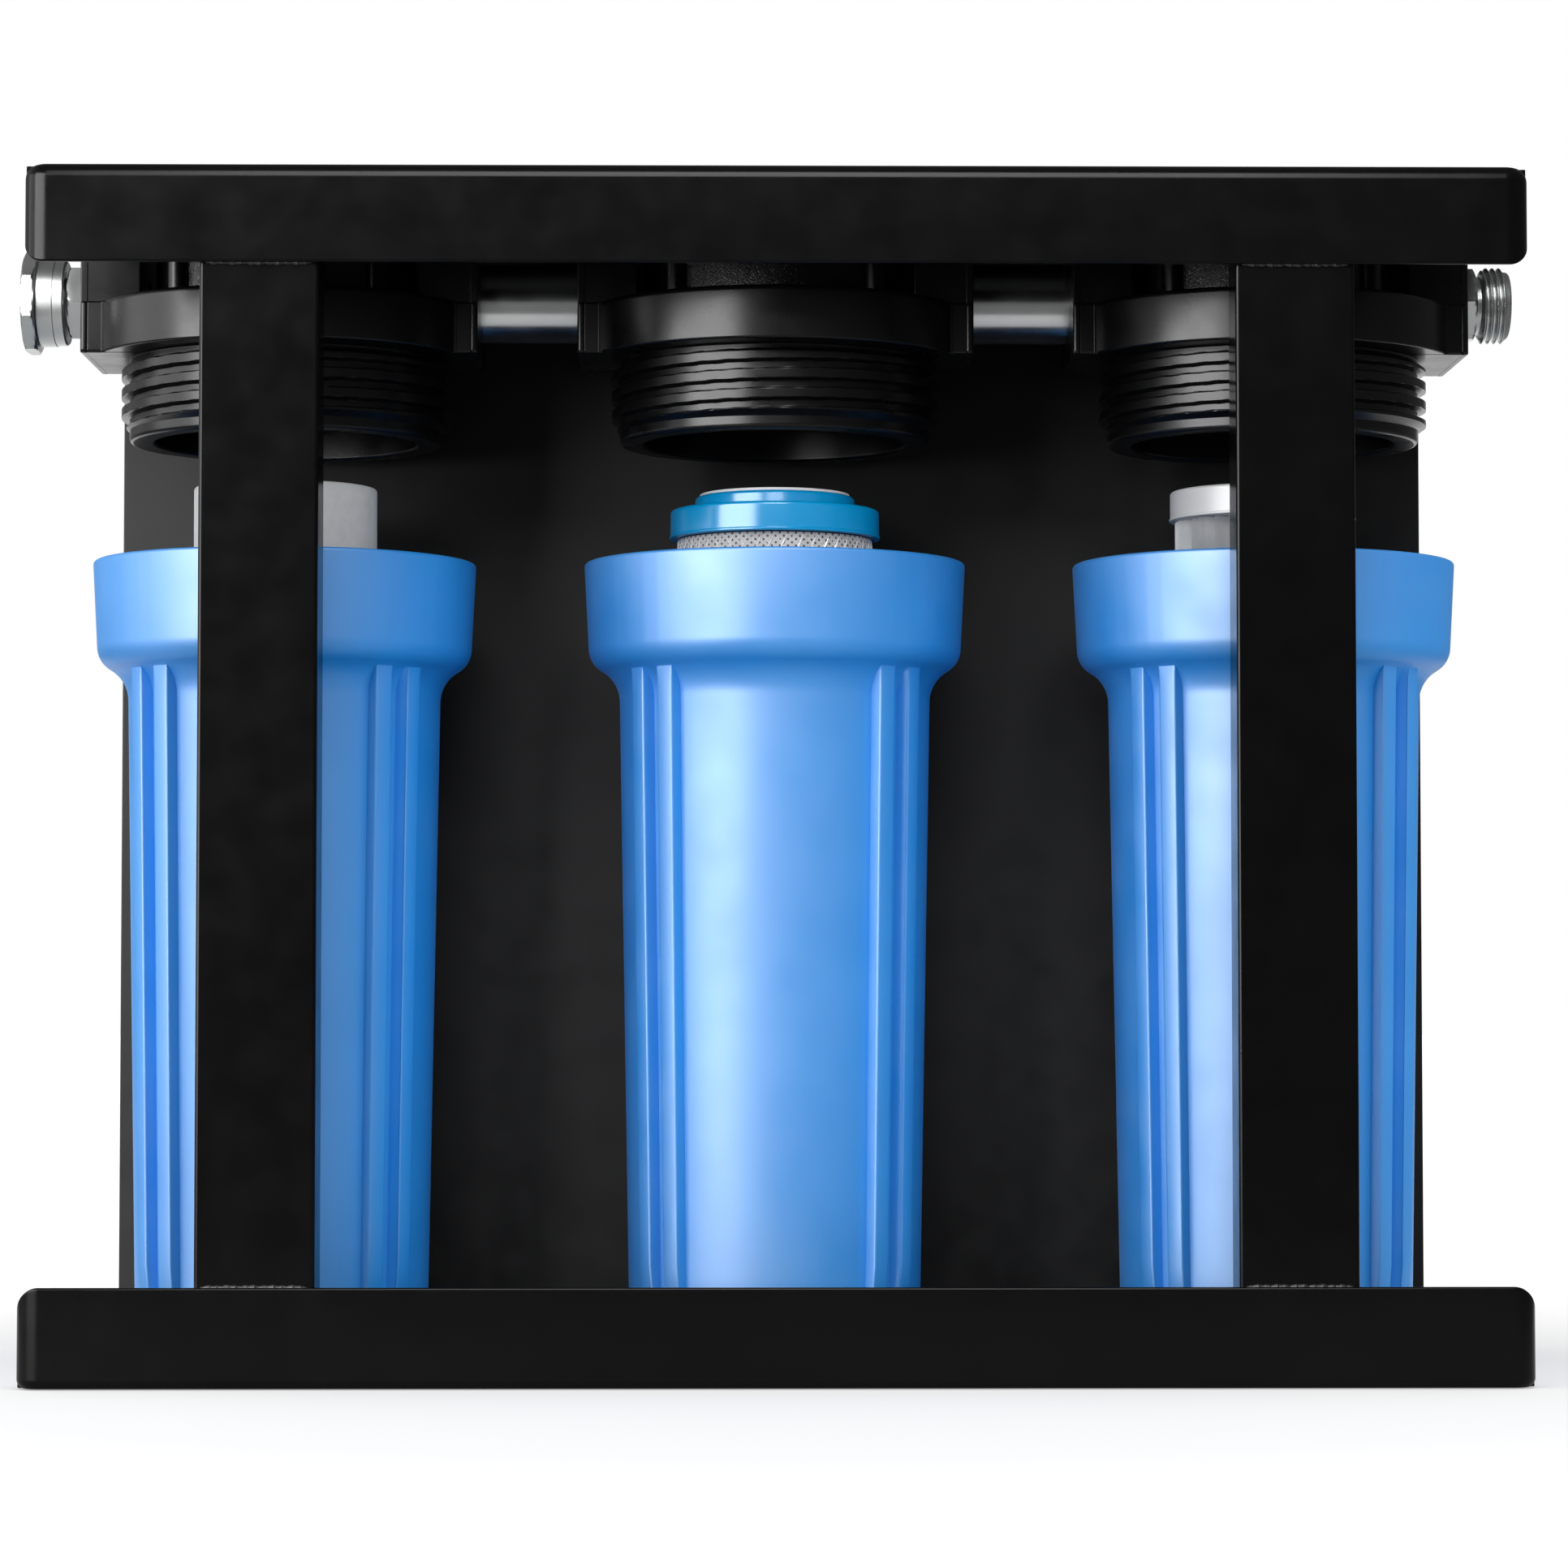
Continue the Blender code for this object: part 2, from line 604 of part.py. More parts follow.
def head_shell():
    """The turned part of a head: spigot, collar and dome, still solid inside."""
    root = SPIGOT_ROOT_DIAMETER / 2
    collar = CANISTER_DIAMETER / 2
    dome = DOME_DIAMETER / 2
    dome_top = COLLAR_HEIGHT + DOME_HEIGHT
    shoulder = (dome - DOME_SHOULDER_RADIUS, dome_top - DOME_SHOULDER_RADIUS)
    thread = head_thread()
    profile = [
        (0.0, -SPIGOT_LENGTH),
        (root - SPIGOT_CHAMFER, -SPIGOT_LENGTH),
        (root, -SPIGOT_LENGTH + SPIGOT_CHAMFER),
        (root, thread.low),
        (root, thread.high),
        (root, 0.0),
        (collar - COLLAR_FOOT_RADIUS, 0.0),
        (collar, COLLAR_FOOT_RADIUS),
        (collar, COLLAR_HEIGHT - COLLAR_TOP_RADIUS),
        (collar - COLLAR_TOP_RADIUS, COLLAR_HEIGHT),
        (dome, COLLAR_HEIGHT),
        *arc(shoulder, DOME_SHOULDER_RADIUS, 0.0, QUARTER, TURNED_CORNER_STEPS),
        (0.0, dome_top),
    ]
    return turned("head", profile, BIG_SEGMENTS, threads=(thread,))


def head_cavity():
    """The hollow of a head: mouth, cap chamber, and the seat and nub left standing in its roof."""
    mouth = SPIGOT_BORE / 2
    chamber = CAP_CHAMBER_DIAMETER / 2
    seat = SEAT_DIAMETER / 2
    nub = SEAT_NUB_DIAMETER / 2
    profile = [
        (0.0, HEAD_SEAT - SEAT_NUB_HEIGHT),
        (nub, HEAD_SEAT - SEAT_NUB_HEIGHT),
        (nub, HEAD_SEAT),
        (seat, HEAD_SEAT),
        (seat, CAP_CHAMBER_TOP),
        (chamber, CAP_CHAMBER_TOP),
        (chamber, CAP_CHAMBER_FOOT),
        (mouth, CAP_CHAMBER_FOOT - CAP_CHAMBER_TAPER),
        (mouth, -SPIGOT_LENGTH - CUT_OVERRUN),
        (0.0, -SPIGOT_LENGTH - CUT_OVERRUN),
    ]
    return turned("cavity", profile, BIG_SEGMENTS)


def port_boss(side):
    """The square boss of one port, with a slightly wider flange at its face."""
    half = PORT_BOSS_WIDTH / 2
    face = side * PORT_FACE
    inner = side * PORT_BOSS_INNER_EDGE
    neck = side * (PORT_FACE - PORT_FLANGE_LENGTH)
    body = [(inner, -half), (neck, -half), (neck, half), (inner, half)]
    flange_half = half + PORT_FLANGE_STEP
    overlap = side * (PORT_FACE - PORT_FLANGE_LENGTH - PORT_FLANGE_STEP)
    flange = [(overlap, -flange_half), (face, -flange_half), (face, flange_half), (overlap, flange_half)]
    top = PORT_BOSS_TOP
    return [prism("boss", body, 0.0, top), prism("port_flange", flange, 0.0, top + PORT_FLANGE_STEP)]


def make_head_mesh():
    """A filter head: shell and bosses joined, then the cavity, ports, passages and pilot holes cut."""
    axis = (0.0, 0.0, PORT_AXIS_HEIGHT)
    port_radius = PIPE_DIAMETER / 2 + SEAM
    steps = [("UNION", part) for side in (-1, 1) for part in port_boss(side)]
    for x, y in screw_places():
        boss = cylinder(
            "screw_boss",
            HEAD_BOSS_DIAMETER / 2,
            COLLAR_HEIGHT - CUT_OVERRUN,
            COLLAR_HEIGHT + HEAD_BOSS_HEIGHT,
            SCREW_SEGMENTS,
        )
        steps.append(("UNION", moved(boss, (x, y, 0.0))))
    steps.append(("DIFFERENCE", head_cavity()))
    slot_floor = OUTLET_SLOT_ROOF - OUTLET_SLOT_HEIGHT
    bore_foot = HEAD_SEAT - SEAT_NUB_HEIGHT - CUT_OVERRUN
    bore = cylinder("bore", SEAT_BORE / 2, bore_foot, slot_floor + CUT_OVERRUN, SMALL_SEGMENTS)
    slot = box_mesh(
        "slot",
        (-SEAT_BORE / 2, -OUTLET_SLOT_WIDTH / 2, slot_floor),
        (PORT_FACE - PIPE_ENGAGEMENT, OUTLET_SLOT_WIDTH / 2, OUTLET_SLOT_ROOF),
    )
    steps += [("DIFFERENCE", bore), ("DIFFERENCE", slot)]
    depth = PORT_FACE - PORT_BORE_DEPTH
    outlet = cylinder("outlet", port_radius, depth, PORT_FACE + CUT_OVERRUN, MID_SEGMENTS, along_x())
    inlet = cylinder("inlet", port_radius, -PORT_FACE - CUT_OVERRUN, -depth, MID_SEGMENTS, along_x())
    passage = cylinder(
        "passage",
        INLET_PASSAGE_DIAMETER / 2,
        -depth - CUT_OVERRUN,
        -CAP_CHAMBER_DIAMETER / 2 + CUT_OVERRUN,
        SMALL_SEGMENTS,
        along_x(),
    )
    steps += [("DIFFERENCE", moved(cut, axis)) for cut in (outlet, inlet, passage)]
    top = COLLAR_HEIGHT + HEAD_BOSS_HEIGHT
    for x, y in screw_places():
        pilot = cylinder(
            "pilot", SCREW_DIAMETER / 2 + SEAM, top - SCREW_LENGTH, top + CUT_OVERRUN, SCREW_SEGMENTS
        )
        steps.append(("DIFFERENCE", moved(pilot, (x, y, 0.0))))
    return carved("filter_head", head_shell(), steps)


# Sump and O-ring


def sump_thread():
    """The female thread in the mouth of the sump, half a pitch off the spigot's.

    The sump climbs one pitch in each turn, so that what holds at rest holds all the way up.
    """
    low = SUMP_HEIGHT - SUMP_SOCKET_DEPTH + THREAD_END_MARGIN
    high = SUMP_HEIGHT - THREAD_END_MARGIN
    crest = SPIGOT_ROOT_DIAMETER / 2 + THREAD_RADIAL_CLEARANCE
    wall = crest + THREAD_HEIGHT + THREAD_RADIAL_CLEARANCE / 2
    head_phase = HEAD_DATUM + head_thread().low + head_thread().phase
    start = head_phase + THREAD_PITCH * HALF_PITCH_SHARE - SUMP_BASE
    return Thread(
        wall, crest - wall, THREAD_PITCH, low, high, THREAD_RUNOUT, (start - low) % THREAD_PITCH
    )


def shoulder():
    """The cove under the collar: its radius, where it starts, and where it meets the collar's corner."""
    slope = math.radians(SUMP_SHOULDER_SLOPE_DEG)
    overhang = CANISTER_DIAMETER / 2 - SUMP_COLLAR_TAPER - SUMP_BODY_TOP_DIAMETER / 2
    cove = overhang / (1 - math.cos(slope)) - SUMP_COLLAR_CORNER
    meeting = SUMP_HEIGHT - SUMP_COLLAR_HEIGHT - SUMP_COLLAR_CORNER * math.sin(slope)
    return cove, meeting - cove * math.sin(slope), meeting


def sump_outside():
    """Outer outline of the sump from the middle of its underside out and up to the rim."""
    collar = CANISTER_DIAMETER / 2
    collar_foot = collar - SUMP_COLLAR_TAPER
    body_top = SUMP_BODY_TOP_DIAMETER / 2
    body_foot = SUMP_BODY_FOOT_DIAMETER / 2
    corner = SUMP_COLLAR_CORNER
    slope = math.radians(SUMP_SHOULDER_SLOPE_DEG)
    cove, cove_low, _ = shoulder()
    recess_top = CARTRIDGE_SEAT_HEIGHT - PEDESTAL_WALL
    recess = SEAT_DIAMETER / 2 - PEDESTAL_WALL
    lip = SUMP_RIM_RADIUS
    steps = TURNED_CORNER_STEPS
    return [
        (0.0, recess_top),
        (recess, recess_top),
        (recess + PEDESTAL_SPREAD, 0.0),
        *arc((body_foot - SUMP_FOOT_RADIUS, SUMP_FOOT_RADIUS), SUMP_FOOT_RADIUS, -QUARTER, 0.0, steps),
        *arc((body_top + cove, cove_low), cove, HALF_TURN, HALF_TURN - slope, steps),
        *arc((collar_foot - corner, SUMP_HEIGHT - SUMP_COLLAR_HEIGHT), corner, -slope, 0.0, steps)[1:],
        (collar, SUMP_HEIGHT - lip),
        (collar - lip, SUMP_HEIGHT),
    ]


def sump_inside():
    """Inner outline of the sump from its rim down the socket, ledge, groove and bore to the pedestal."""
    thread = sump_thread()
    ledge = SUMP_HEIGHT - SUMP_SOCKET_DEPTH
    groove_out = O_RING_DIAMETER / 2 + O_RING_SECTION / 2 + SEAM
    groove_in = O_RING_DIAMETER / 2 - O_RING_SECTION / 2 - SEAM
    groove_floor = ledge + O_RING_PROUD - O_RING_SECTION - SEAM
    bore_top = SUMP_BORE_TOP / 2
    bore_foot = SUMP_BORE_FOOT / 2
    fillet = SUMP_FLOOR_FILLET
    seat = SEAT_DIAMETER / 2
    nub = SEAT_NUB_DIAMETER / 2
    corner = arc((bore_foot - fillet, SUMP_FLOOR + fillet), fillet, 0.0, -QUARTER, FILLET_STEPS)
    return [
        (thread.radius, SUMP_HEIGHT),
        (thread.radius, thread.high),
        (thread.radius, thread.low),
        (thread.radius, ledge),
        (groove_out, ledge),
        (groove_out, groove_floor),
        (groove_in, groove_floor),
        (groove_in, ledge),
        (bore_top, ledge),
        *corner,
        (seat + PEDESTAL_SPREAD, SUMP_FLOOR),
        (seat, CARTRIDGE_SEAT_HEIGHT),
        (nub, CARTRIDGE_SEAT_HEIGHT),
        (nub, CARTRIDGE_SEAT_HEIGHT + SEAT_NUB_HEIGHT),
        (0.0, CARTRIDGE_SEAT_HEIGHT + SEAT_NUB_HEIGHT),
    ]


def body_radius(height):
    """Outer radius of the tapered body of the sump at a height."""
    low = (SUMP_BODY_FOOT_DIAMETER / 2, SUMP_FOOT_RADIUS)
    high = (SUMP_BODY_TOP_DIAMETER / 2, shoulder()[1])
    share = (height - low[1]) / (high[1] - low[1])
    return low[0] + (high[0] - low[0]) * share


def grip_rib(angle):
    """One grip rib: an upright bar on the taper of the body that runs up into the cove."""
    foot = body_radius(RIB_FOOT)
    _, _, rib_top = shoulder()
    top = body_radius(rib_top)
    outline = [
        (foot - RIB_ROOT, RIB_FOOT),
        (foot, RIB_FOOT),
        (foot + RIB_HEIGHT, RIB_FOOT + RIB_HEIGHT),
        (top + RIB_HEIGHT, rib_top),
        (top - RIB_ROOT, rib_top),
    ]
    upright = Matrix.Rotation(angle, 4, "Z") @ front_view()
    return prism("rib", outline, -RIB_WIDTH / 2, RIB_WIDTH / 2, upright)


def rib_angles():
    """The directions of the ribs: pairs either side of the front and of the back."""
    return [
        middle + side * math.radians(angle)
        for middle in (-QUARTER, QUARTER)
        for side in (-1, 1)
        for angle in RIB_ANGLES_DEG
    ]


def make_sump_mesh():
    """A sump with its grip ribs."""
    shell = turned("sump", sump_outside() + sump_inside(), BIG_SEGMENTS, threads=(sump_thread(),))
    return carved("sump", shell, [("UNION", grip_rib(angle)) for angle in rib_angles()])


def make_o_ring_mesh():
    """An O-ring, turned round Z at the height where it lies in the groove of a sump."""
    ledge = SUMP_HEIGHT - SUMP_SOCKET_DEPTH
    centre = (O_RING_DIAMETER / 2, ledge + O_RING_PROUD - O_RING_SECTION / 2)
    section = arc(centre, O_RING_SECTION / 2, QUARTER, QUARTER + FULL_TURN, O_RING_SECTION_SEGMENTS)
    return turned("o_ring", section[:-1], BIG_SEGMENTS)


# Cartridges, measured from their foot


def tube(name, outer, inner, low, high, segments=MID_SEGMENTS, edge=0.0):
    """A round tube with its outer edges cut by a small chamfer."""
    profile = [
        (inner / 2, low),
        (outer / 2 - edge, low),
        (outer / 2, low + edge),
        (outer / 2, high - edge),
        (outer / 2 - edge, high),
        (inner / 2, high),
    ]
    return turned(name, list(dict.fromkeys(profile)), segments)


def mirrored_pair(name, build):
    """A piece for the top end of a cartridge, and the same turned over for its bottom end."""
    top = build(f"{name}_top")
    bottom = top.copy()
    bottom.name = f"{name}_bottom"
    bottom.transform(Matrix.Translation((0.0, 0.0, CARTRIDGE_LENGTH)) @ Matrix.Rotation(HALF_TURN, 4, "X"))
    return {"top": top, "bottom": bottom}


def spun_cartridge():
    """The left cartridge: one spun sleeve."""
    mesh = tube("spun", SPUN_DIAMETER, CARTRIDGE_BORE, 0.0, CARTRIDGE_LENGTH, edge=SPUN_EDGE_RADIUS)
    return [link("left_cartridge_media", mesh, MEDIA_WHITE)]


def blue_cap(name):
    """The stepped end cap of the centre cartridge, at its top end."""
    top = CARTRIDGE_LENGTH - BLUE_GASKET_HEIGHT - SEAM
    step = top - BLUE_RING_HEIGHT
    low = step - BLUE_CAP_HEIGHT
    cap = BLUE_CAP_DIAMETER / 2
    bore = CARTRIDGE_BORE / 2
    profile = [
        (bore, low),
        (cap, low),
        (cap, step),
        (BLUE_RING_DIAMETER / 2, step),
        (BLUE_RING_DIAMETER / 2, top),
        (bore, top),
    ]
    return turned(name, profile, MID_SEGMENTS)


def blue_gasket(name):
    """The flat gasket on the blue cap."""
    high = CARTRIDGE_LENGTH
    low = high - BLUE_GASKET_HEIGHT
    return tube(name, BLUE_GASKET_DIAMETER, CARTRIDGE_BORE, low, high, FITTING_SEGMENTS)


def block_cartridge():
    """The centre cartridge: block, netting sleeve, two caps and two gaskets."""
    end = BLUE_GASKET_HEIGHT + SEAM + BLUE_RING_HEIGHT + BLUE_CAP_HEIGHT + SEAM
    low = end
    high = CARTRIDGE_LENGTH - end
    block = tube("block", BLOCK_DIAMETER, CARTRIDGE_BORE, low, high)
    netting = tube("netting", NETTING_DIAMETER, NETTING_DIAMETER - 2 * NETTING_WALL, low, high)
    caps = mirrored_pair("blue_cap", blue_cap)
    gaskets = mirrored_pair("blue_gasket", blue_gasket)
    parts = [
        link("centre_cartridge_block", block, CARBON_BLACK),
        link("centre_cartridge_netting", netting, MEDIA_WHITE),
    ]
    parts += [link(f"centre_cartridge_{end}_cap", mesh, CAP_BLUE) for end, mesh in caps.items()]
    parts += [link(f"centre_cartridge_{end}_gasket", mesh, CAP_WHITE) for end, mesh in gaskets.items()]
    return parts


def white_cap(name):
    """The end cap of the pleated cartridge, at its top end, recessed for its gasket."""
    top = CARTRIDGE_LENGTH - WHITE_GASKET_PROUD
    low = top - WHITE_CAP_HEIGHT
    edge = WHITE_CAP_CHAMFER
    cap = WHITE_CAP_DIAMETER / 2
    bore = CARTRIDGE_BORE / 2
    recess = WHITE_GASKET_DIAMETER / 2 + SEAM
    recess_floor = CARTRIDGE_LENGTH - WHITE_GASKET_HEIGHT - SEAM
    profile = [
        (bore, low),
        (cap, low),
        (cap, top - edge),
        (cap - edge, top),
        (recess, top),
        (recess, recess_floor),
        (bore, recess_floor),
    ]
    return turned(name, profile, MID_SEGMENTS)


def white_gasket(name):
    """The gasket let into the white cap."""
    high = CARTRIDGE_LENGTH
    low = high - WHITE_GASKET_HEIGHT
    return tube(name, WHITE_GASKET_DIAMETER, CARTRIDGE_BORE, low, high, FITTING_SEGMENTS)


def pleated_sheet(low, high):
    """A folded sheet that zigzags between an inner and an outer circle, its ends joined."""
    folds = 2 * PLEAT_COUNT
    half = PLEAT_SHEET / 2
    outer = PLEAT_DIAMETER / 2
    inner = PLEAT_INNER_DIAMETER / 2
    bm = bmesh.new()
    rings = []
    for offset in (half, -half):
        for z in (low, high):
            radii = [(outer if i % 2 == 0 else inner) + offset for i in range(folds)]
            angles = [FULL_TURN * i / folds for i in range(folds)]
            corners = [(r * math.cos(a), r * math.sin(a), z) for r, a in zip(radii, angles)]
            rings.append([bm.verts.new(p) for p in corners])
    out_low, out_high, in_low, in_high = rings
    for first, second in ((out_low, out_high), (out_high, in_high), (in_high, in_low), (in_low, out_low)):
        for i in range(folds):
            j = (i + 1) % folds
            bm.faces.new([first[i], first[j], second[j], second[i]])
    return finished_mesh(bm, "pleats")


def pleated_cartridge():
    """The right cartridge: pleated sheet on a core tube, two caps and two gaskets."""
    end = WHITE_GASKET_PROUD + WHITE_CAP_HEIGHT + SEAM
    low = end
    high = CARTRIDGE_LENGTH - end
    core = tube("core", CORE_DIAMETER, CARTRIDGE_BORE, low, high)
    caps = mirrored_pair("white_cap", white_cap)
    gaskets = mirrored_pair("white_gasket", white_gasket)
    parts = [
        link("right_cartridge_pleats", pleated_sheet(low, high), MEDIA_WHITE),
        link("right_cartridge_core", core, CAP_WHITE),
    ]
    parts += [link(f"right_cartridge_{end}_cap", mesh, CAP_WHITE) for end, mesh in caps.items()]
    parts += [link(f"right_cartridge_{end}_gasket", mesh, RUBBER_BLACK) for end, mesh in gaskets.items()]
    return parts


# Pipework, built along Z from the port face outwards and laid along X


def make_nipple_mesh():
    """A pipe nipple between two heads, centred."""
    half = NIPPLE_EXPOSED / 2 + PIPE_ENGAGEMENT
    return tube("nipple", PIPE_DIAMETER, PIPE_BORE, -half, half)


def hexagon(name, length):
    """The wrench hexagon of an adapter, standing on its port face."""
    turn = HALF_TURN + math.radians(FITTING_TURN_DEG)
    return prism(name, polygon_outline(FITTING_HEX, HEXAGON_SIDES, turn), SEAM, length)


def tail_flange():
    """The two faces of the flange at the end of the inlet adapter's tail."""
    socket_floor = SWIVEL_START + SWIVEL_LENGTH - SWIVEL_SOCKET_DEPTH
    low = socket_floor + RUNNING_GAP
    return low, low + TAIL_FLANGE_LENGTH


def make_inlet_adapter():
    """The inlet adapter: pipe end, hexagon, and a tail with the flange that the swivel nut turns on."""
    pipe = PIPE_DIAMETER / 2
    bore = INLET_BORE / 2
    relief = PIPE_RELIEF_DIAMETER / 2
    tail = TAIL_DIAMETER / 2
    flange = TAIL_FLANGE_DIAMETER / 2
    flange_low, flange_high = tail_flange()
    chamfer = PIPE_END_CHAMFER
    profile = [
        (0.0, -PIPE_ENGAGEMENT),
        (pipe - chamfer, -PIPE_ENGAGEMENT),
        (pipe, chamfer - PIPE_ENGAGEMENT),
        (pipe, -PIPE_RELIEF),
        (relief, -PIPE_RELIEF),
        (relief, INLET_HEX_LENGTH / 2),
        (tail, INLET_HEX_LENGTH / 2),
        (tail, flange_low),
        (flange, flange_low),
        (flange, flange_high),
        (0.0, flange_high),
    ]
    start = -PIPE_ENGAGEMENT - CUT_OVERRUN
    drill = cylinder("drill", bore, start, flange_high + CUT_OVERRUN, SMALL_SEGMENTS)
    steps = [("UNION", hexagon("hexagon", INLET_HEX_LENGTH)), ("DIFFERENCE", drill)]
    return carved("inlet_adapter", turned("adapter", profile, MID_SEGMENTS), steps)


def make_swivel_nut():
    """The swivel nut: collar and sleeve, then an octagon, hollow for the hose end."""
    collar_end = SWIVEL_START + SWIVEL_COLLAR_LENGTH
    sleeve_end = SWIVEL_START + SWIVEL_SLEEVE_LENGTH
    end = SWIVEL_START + SWIVEL_LENGTH
    socket_floor = end - SWIVEL_SOCKET_DEPTH
    profile = [
        (0.0, SWIVEL_START),
        (SWIVEL_COLLAR_DIAMETER / 2, SWIVEL_START),
        (SWIVEL_COLLAR_DIAMETER / 2, collar_end),
        (SWIVEL_SLEEVE_DIAMETER / 2, collar_end),
        (SWIVEL_SLEEVE_DIAMETER / 2, sleeve_end + SEAM),
        (0.0, sleeve_end + SEAM),
    ]
    turn = math.radians(SWIVEL_TURN_DEG) + HALF_TURN / OCTAGON_SIDES
    outline = polygon_outline(SWIVEL_OCTAGON, OCTAGON_SIDES, turn)
    octagon = prism("octagon", outline, sleeve_end, end)
    throat = cylinder(
        "throat",
        TAIL_DIAMETER / 2 + RUNNING_GAP,
        SWIVEL_START - CUT_OVERRUN,
        socket_floor + CUT_OVERRUN,
        MID_SEGMENTS,
    )
    socket = cylinder("socket", SWIVEL_SOCKET_DIAMETER / 2, socket_floor, end + CUT_OVERRUN, MID_SEGMENTS)
    steps = [("UNION", octagon), ("DIFFERENCE", throat), ("DIFFERENCE", socket)]
    return carved("swivel_nut", turned("sleeve", profile, MID_SEGMENTS), steps)


def make_hose_washer():
    """The washer in the swivel nut, against the flange of the adapter's tail."""
    _, flange_high = tail_flange()
    low = flange_high + SEAM
    outer = SWIVEL_SOCKET_DIAMETER - 2 * RUNNING_GAP
    return tube("washer", outer, INLET_BORE, low, low + HOSE_WASHER_HEIGHT, SMALL_SEGMENTS)


def make_outlet_adapter():
    """The outlet adapter: pipe end, hexagon, neck and male hose thread."""
    pipe = PIPE_DIAMETER / 2
    relief = PIPE_RELIEF_DIAMETER / 2
    neck = OUTLET_NECK_DIAMETER / 2
    root = HOSE_THREAD_DIAMETER / 2 - HOSE_THREAD_HEIGHT
    neck_end = OUTLET_HEX_LENGTH + OUTLET_NECK_LENGTH
    end = neck_end + HOSE_THREAD_LENGTH
    chamfer = PIPE_END_CHAMFER
    thread = Thread(
        root,
        HOSE_THREAD_HEIGHT,
        HOSE_THREAD_PITCH,
        neck_end + chamfer,
        end - HOSE_LEAD_LENGTH,
        HOSE_THREAD_RUNOUT,
        0.0,
    )
    profile = [
        (0.0, -PIPE_ENGAGEMENT),
        (pipe - chamfer, -PIPE_ENGAGEMENT),
        (pipe, chamfer - PIPE_ENGAGEMENT),
        (pipe, -PIPE_RELIEF),
        (relief, -PIPE_RELIEF),
        (relief, OUTLET_HEX_LENGTH / 2),
        (neck, OUTLET_HEX_LENGTH / 2),
        (neck, neck_end),
        (root - chamfer, neck_end),
        (root, thread.low),
        (root, thread.high),
        (root, end - chamfer),
        (root - chamfer, end),
        (0.0, end),
    ]
    start = -PIPE_ENGAGEMENT - CUT_OVERRUN
    drill = cylinder("drill", OUTLET_BORE / 2, start, end + CUT_OVERRUN, SMALL_SEGMENTS)
    steps = [("UNION", hexagon("hexagon", OUTLET_HEX_LENGTH)), ("DIFFERENCE", drill)]
    body = turned("adapter", profile, FITTING_SEGMENTS, threads=(thread,))
    return carved("outlet_adapter", body, steps)


def lay(obj, x, outward):
    """Lay a fitting's axis along X at port height, pointing left or right."""
    obj.location = (x, STATION_Y, PORT_AXIS_Z)
    obj.rotation_euler = (0.0, outward * QUARTER, 0.0)


def make_pipework():
    """Nipples between the heads, swivel inlet on the left, threaded outlet on the right."""
    mesh = make_nipple_mesh()
    for name, side in (("nipple_left_centre", -1), ("nipple_centre_right", 1)):
        lay(link(name, mesh, STAINLESS), side * STATION_SPACING / 2, 1)
    inlet_face = STATIONS["left"] - PORT_FACE
    outlet_face = STATIONS["right"] + PORT_FACE
    lay(link("inlet_adapter", make_inlet_adapter(), STAINLESS), inlet_face, -1)
    lay(link("inlet_swivel_nut", make_swivel_nut(), STAINLESS), inlet_face, -1)
    lay(link("inlet_hose_washer", make_hose_washer(), RUBBER_BLACK), inlet_face, -1)
    lay(link("outlet_adapter", make_outlet_adapter(), STAINLESS), outlet_face, 1)


# Screws


def make_screw_mesh():
    """A pan-head screw whose head rests on the plane at height zero."""
    head = SCREW_HEAD_DIAMETER / 2
    shank = SCREW_DIAMETER / 2
    profile = [
        (0.0, -SCREW_LENGTH),
        (shank, -SCREW_LENGTH),
        (shank, SEAM),
        (head, SEAM),
        (head, SEAM + SCREW_HEAD_HEIGHT),
        (0.0, SEAM + SCREW_HEAD_HEIGHT),
    ]
    return turned("head_screw", profile, SCREW_SEGMENTS)


def make_screws():
    """Four screws down through the canopy into each head."""
    mesh = make_screw_mesh()
    for station, x in STATIONS.items():
        for number, (dx, dy) in enumerate(screw_places(), start=1):
            screw = link(f"head_screw_{station}_{number}", mesh, SCREW_STEEL)
            screw.location = (x + dx, STATION_Y + dy, FRAME_HEIGHT)


def make_canisters():
    """The three stations: a fixed head, and a cartridge that rides up with the sump that turns round it."""
    head_mesh = make_head_mesh()
    sump_mesh = make_sump_mesh()
    ring_mesh = make_o_ring_mesh()
    cartridges = {
        "left": spun_cartridge,
        "centre": block_cartridge,
        "right": pleated_cartridge,
    }
    for station, x in STATIONS.items():
        head = link(f"filter_head_{station}", head_mesh, HEAD_BLACK)
        head.location = (x, STATION_Y, HEAD_DATUM)
        lift = empty(f"{station}_lift", (x, STATION_Y, 0.0))
        turn = empty(f"{station}_turn", (0.0, 0.0, SUMP_BASE))
        turn.parent = lift
        sump = link(f"sump_{station}", sump_mesh, SUMP_BLUE)
        ring = link(f"sump_o_ring_{station}", ring_mesh, RUBBER_BLACK)
        for piece in (sump, ring):
            piece.parent = turn
        for piece in cartridges[station]():
            piece.parent = lift
            piece.location = (0.0, 0.0, CARTRIDGE_FOOT)


def main():
    """Build every piece."""
    clear_scene()
    make_canopy()
    make_tray()
    make_panel()
    for side, x in (("left", STATIONS["left"]), ("right", STATIONS["right"])):
        make_post(side, x)
    make_canisters()
    make_pipework()
    make_screws()


main()
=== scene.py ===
"""Looks of a three-stage water filter: sheet frame, heads, sumps with their cartridges, and pipework.

Metres, +Z up, -Y to the front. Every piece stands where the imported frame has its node.
"""

import logging
import math
from dataclasses import dataclass, field
from enum import Enum
from typing import Any

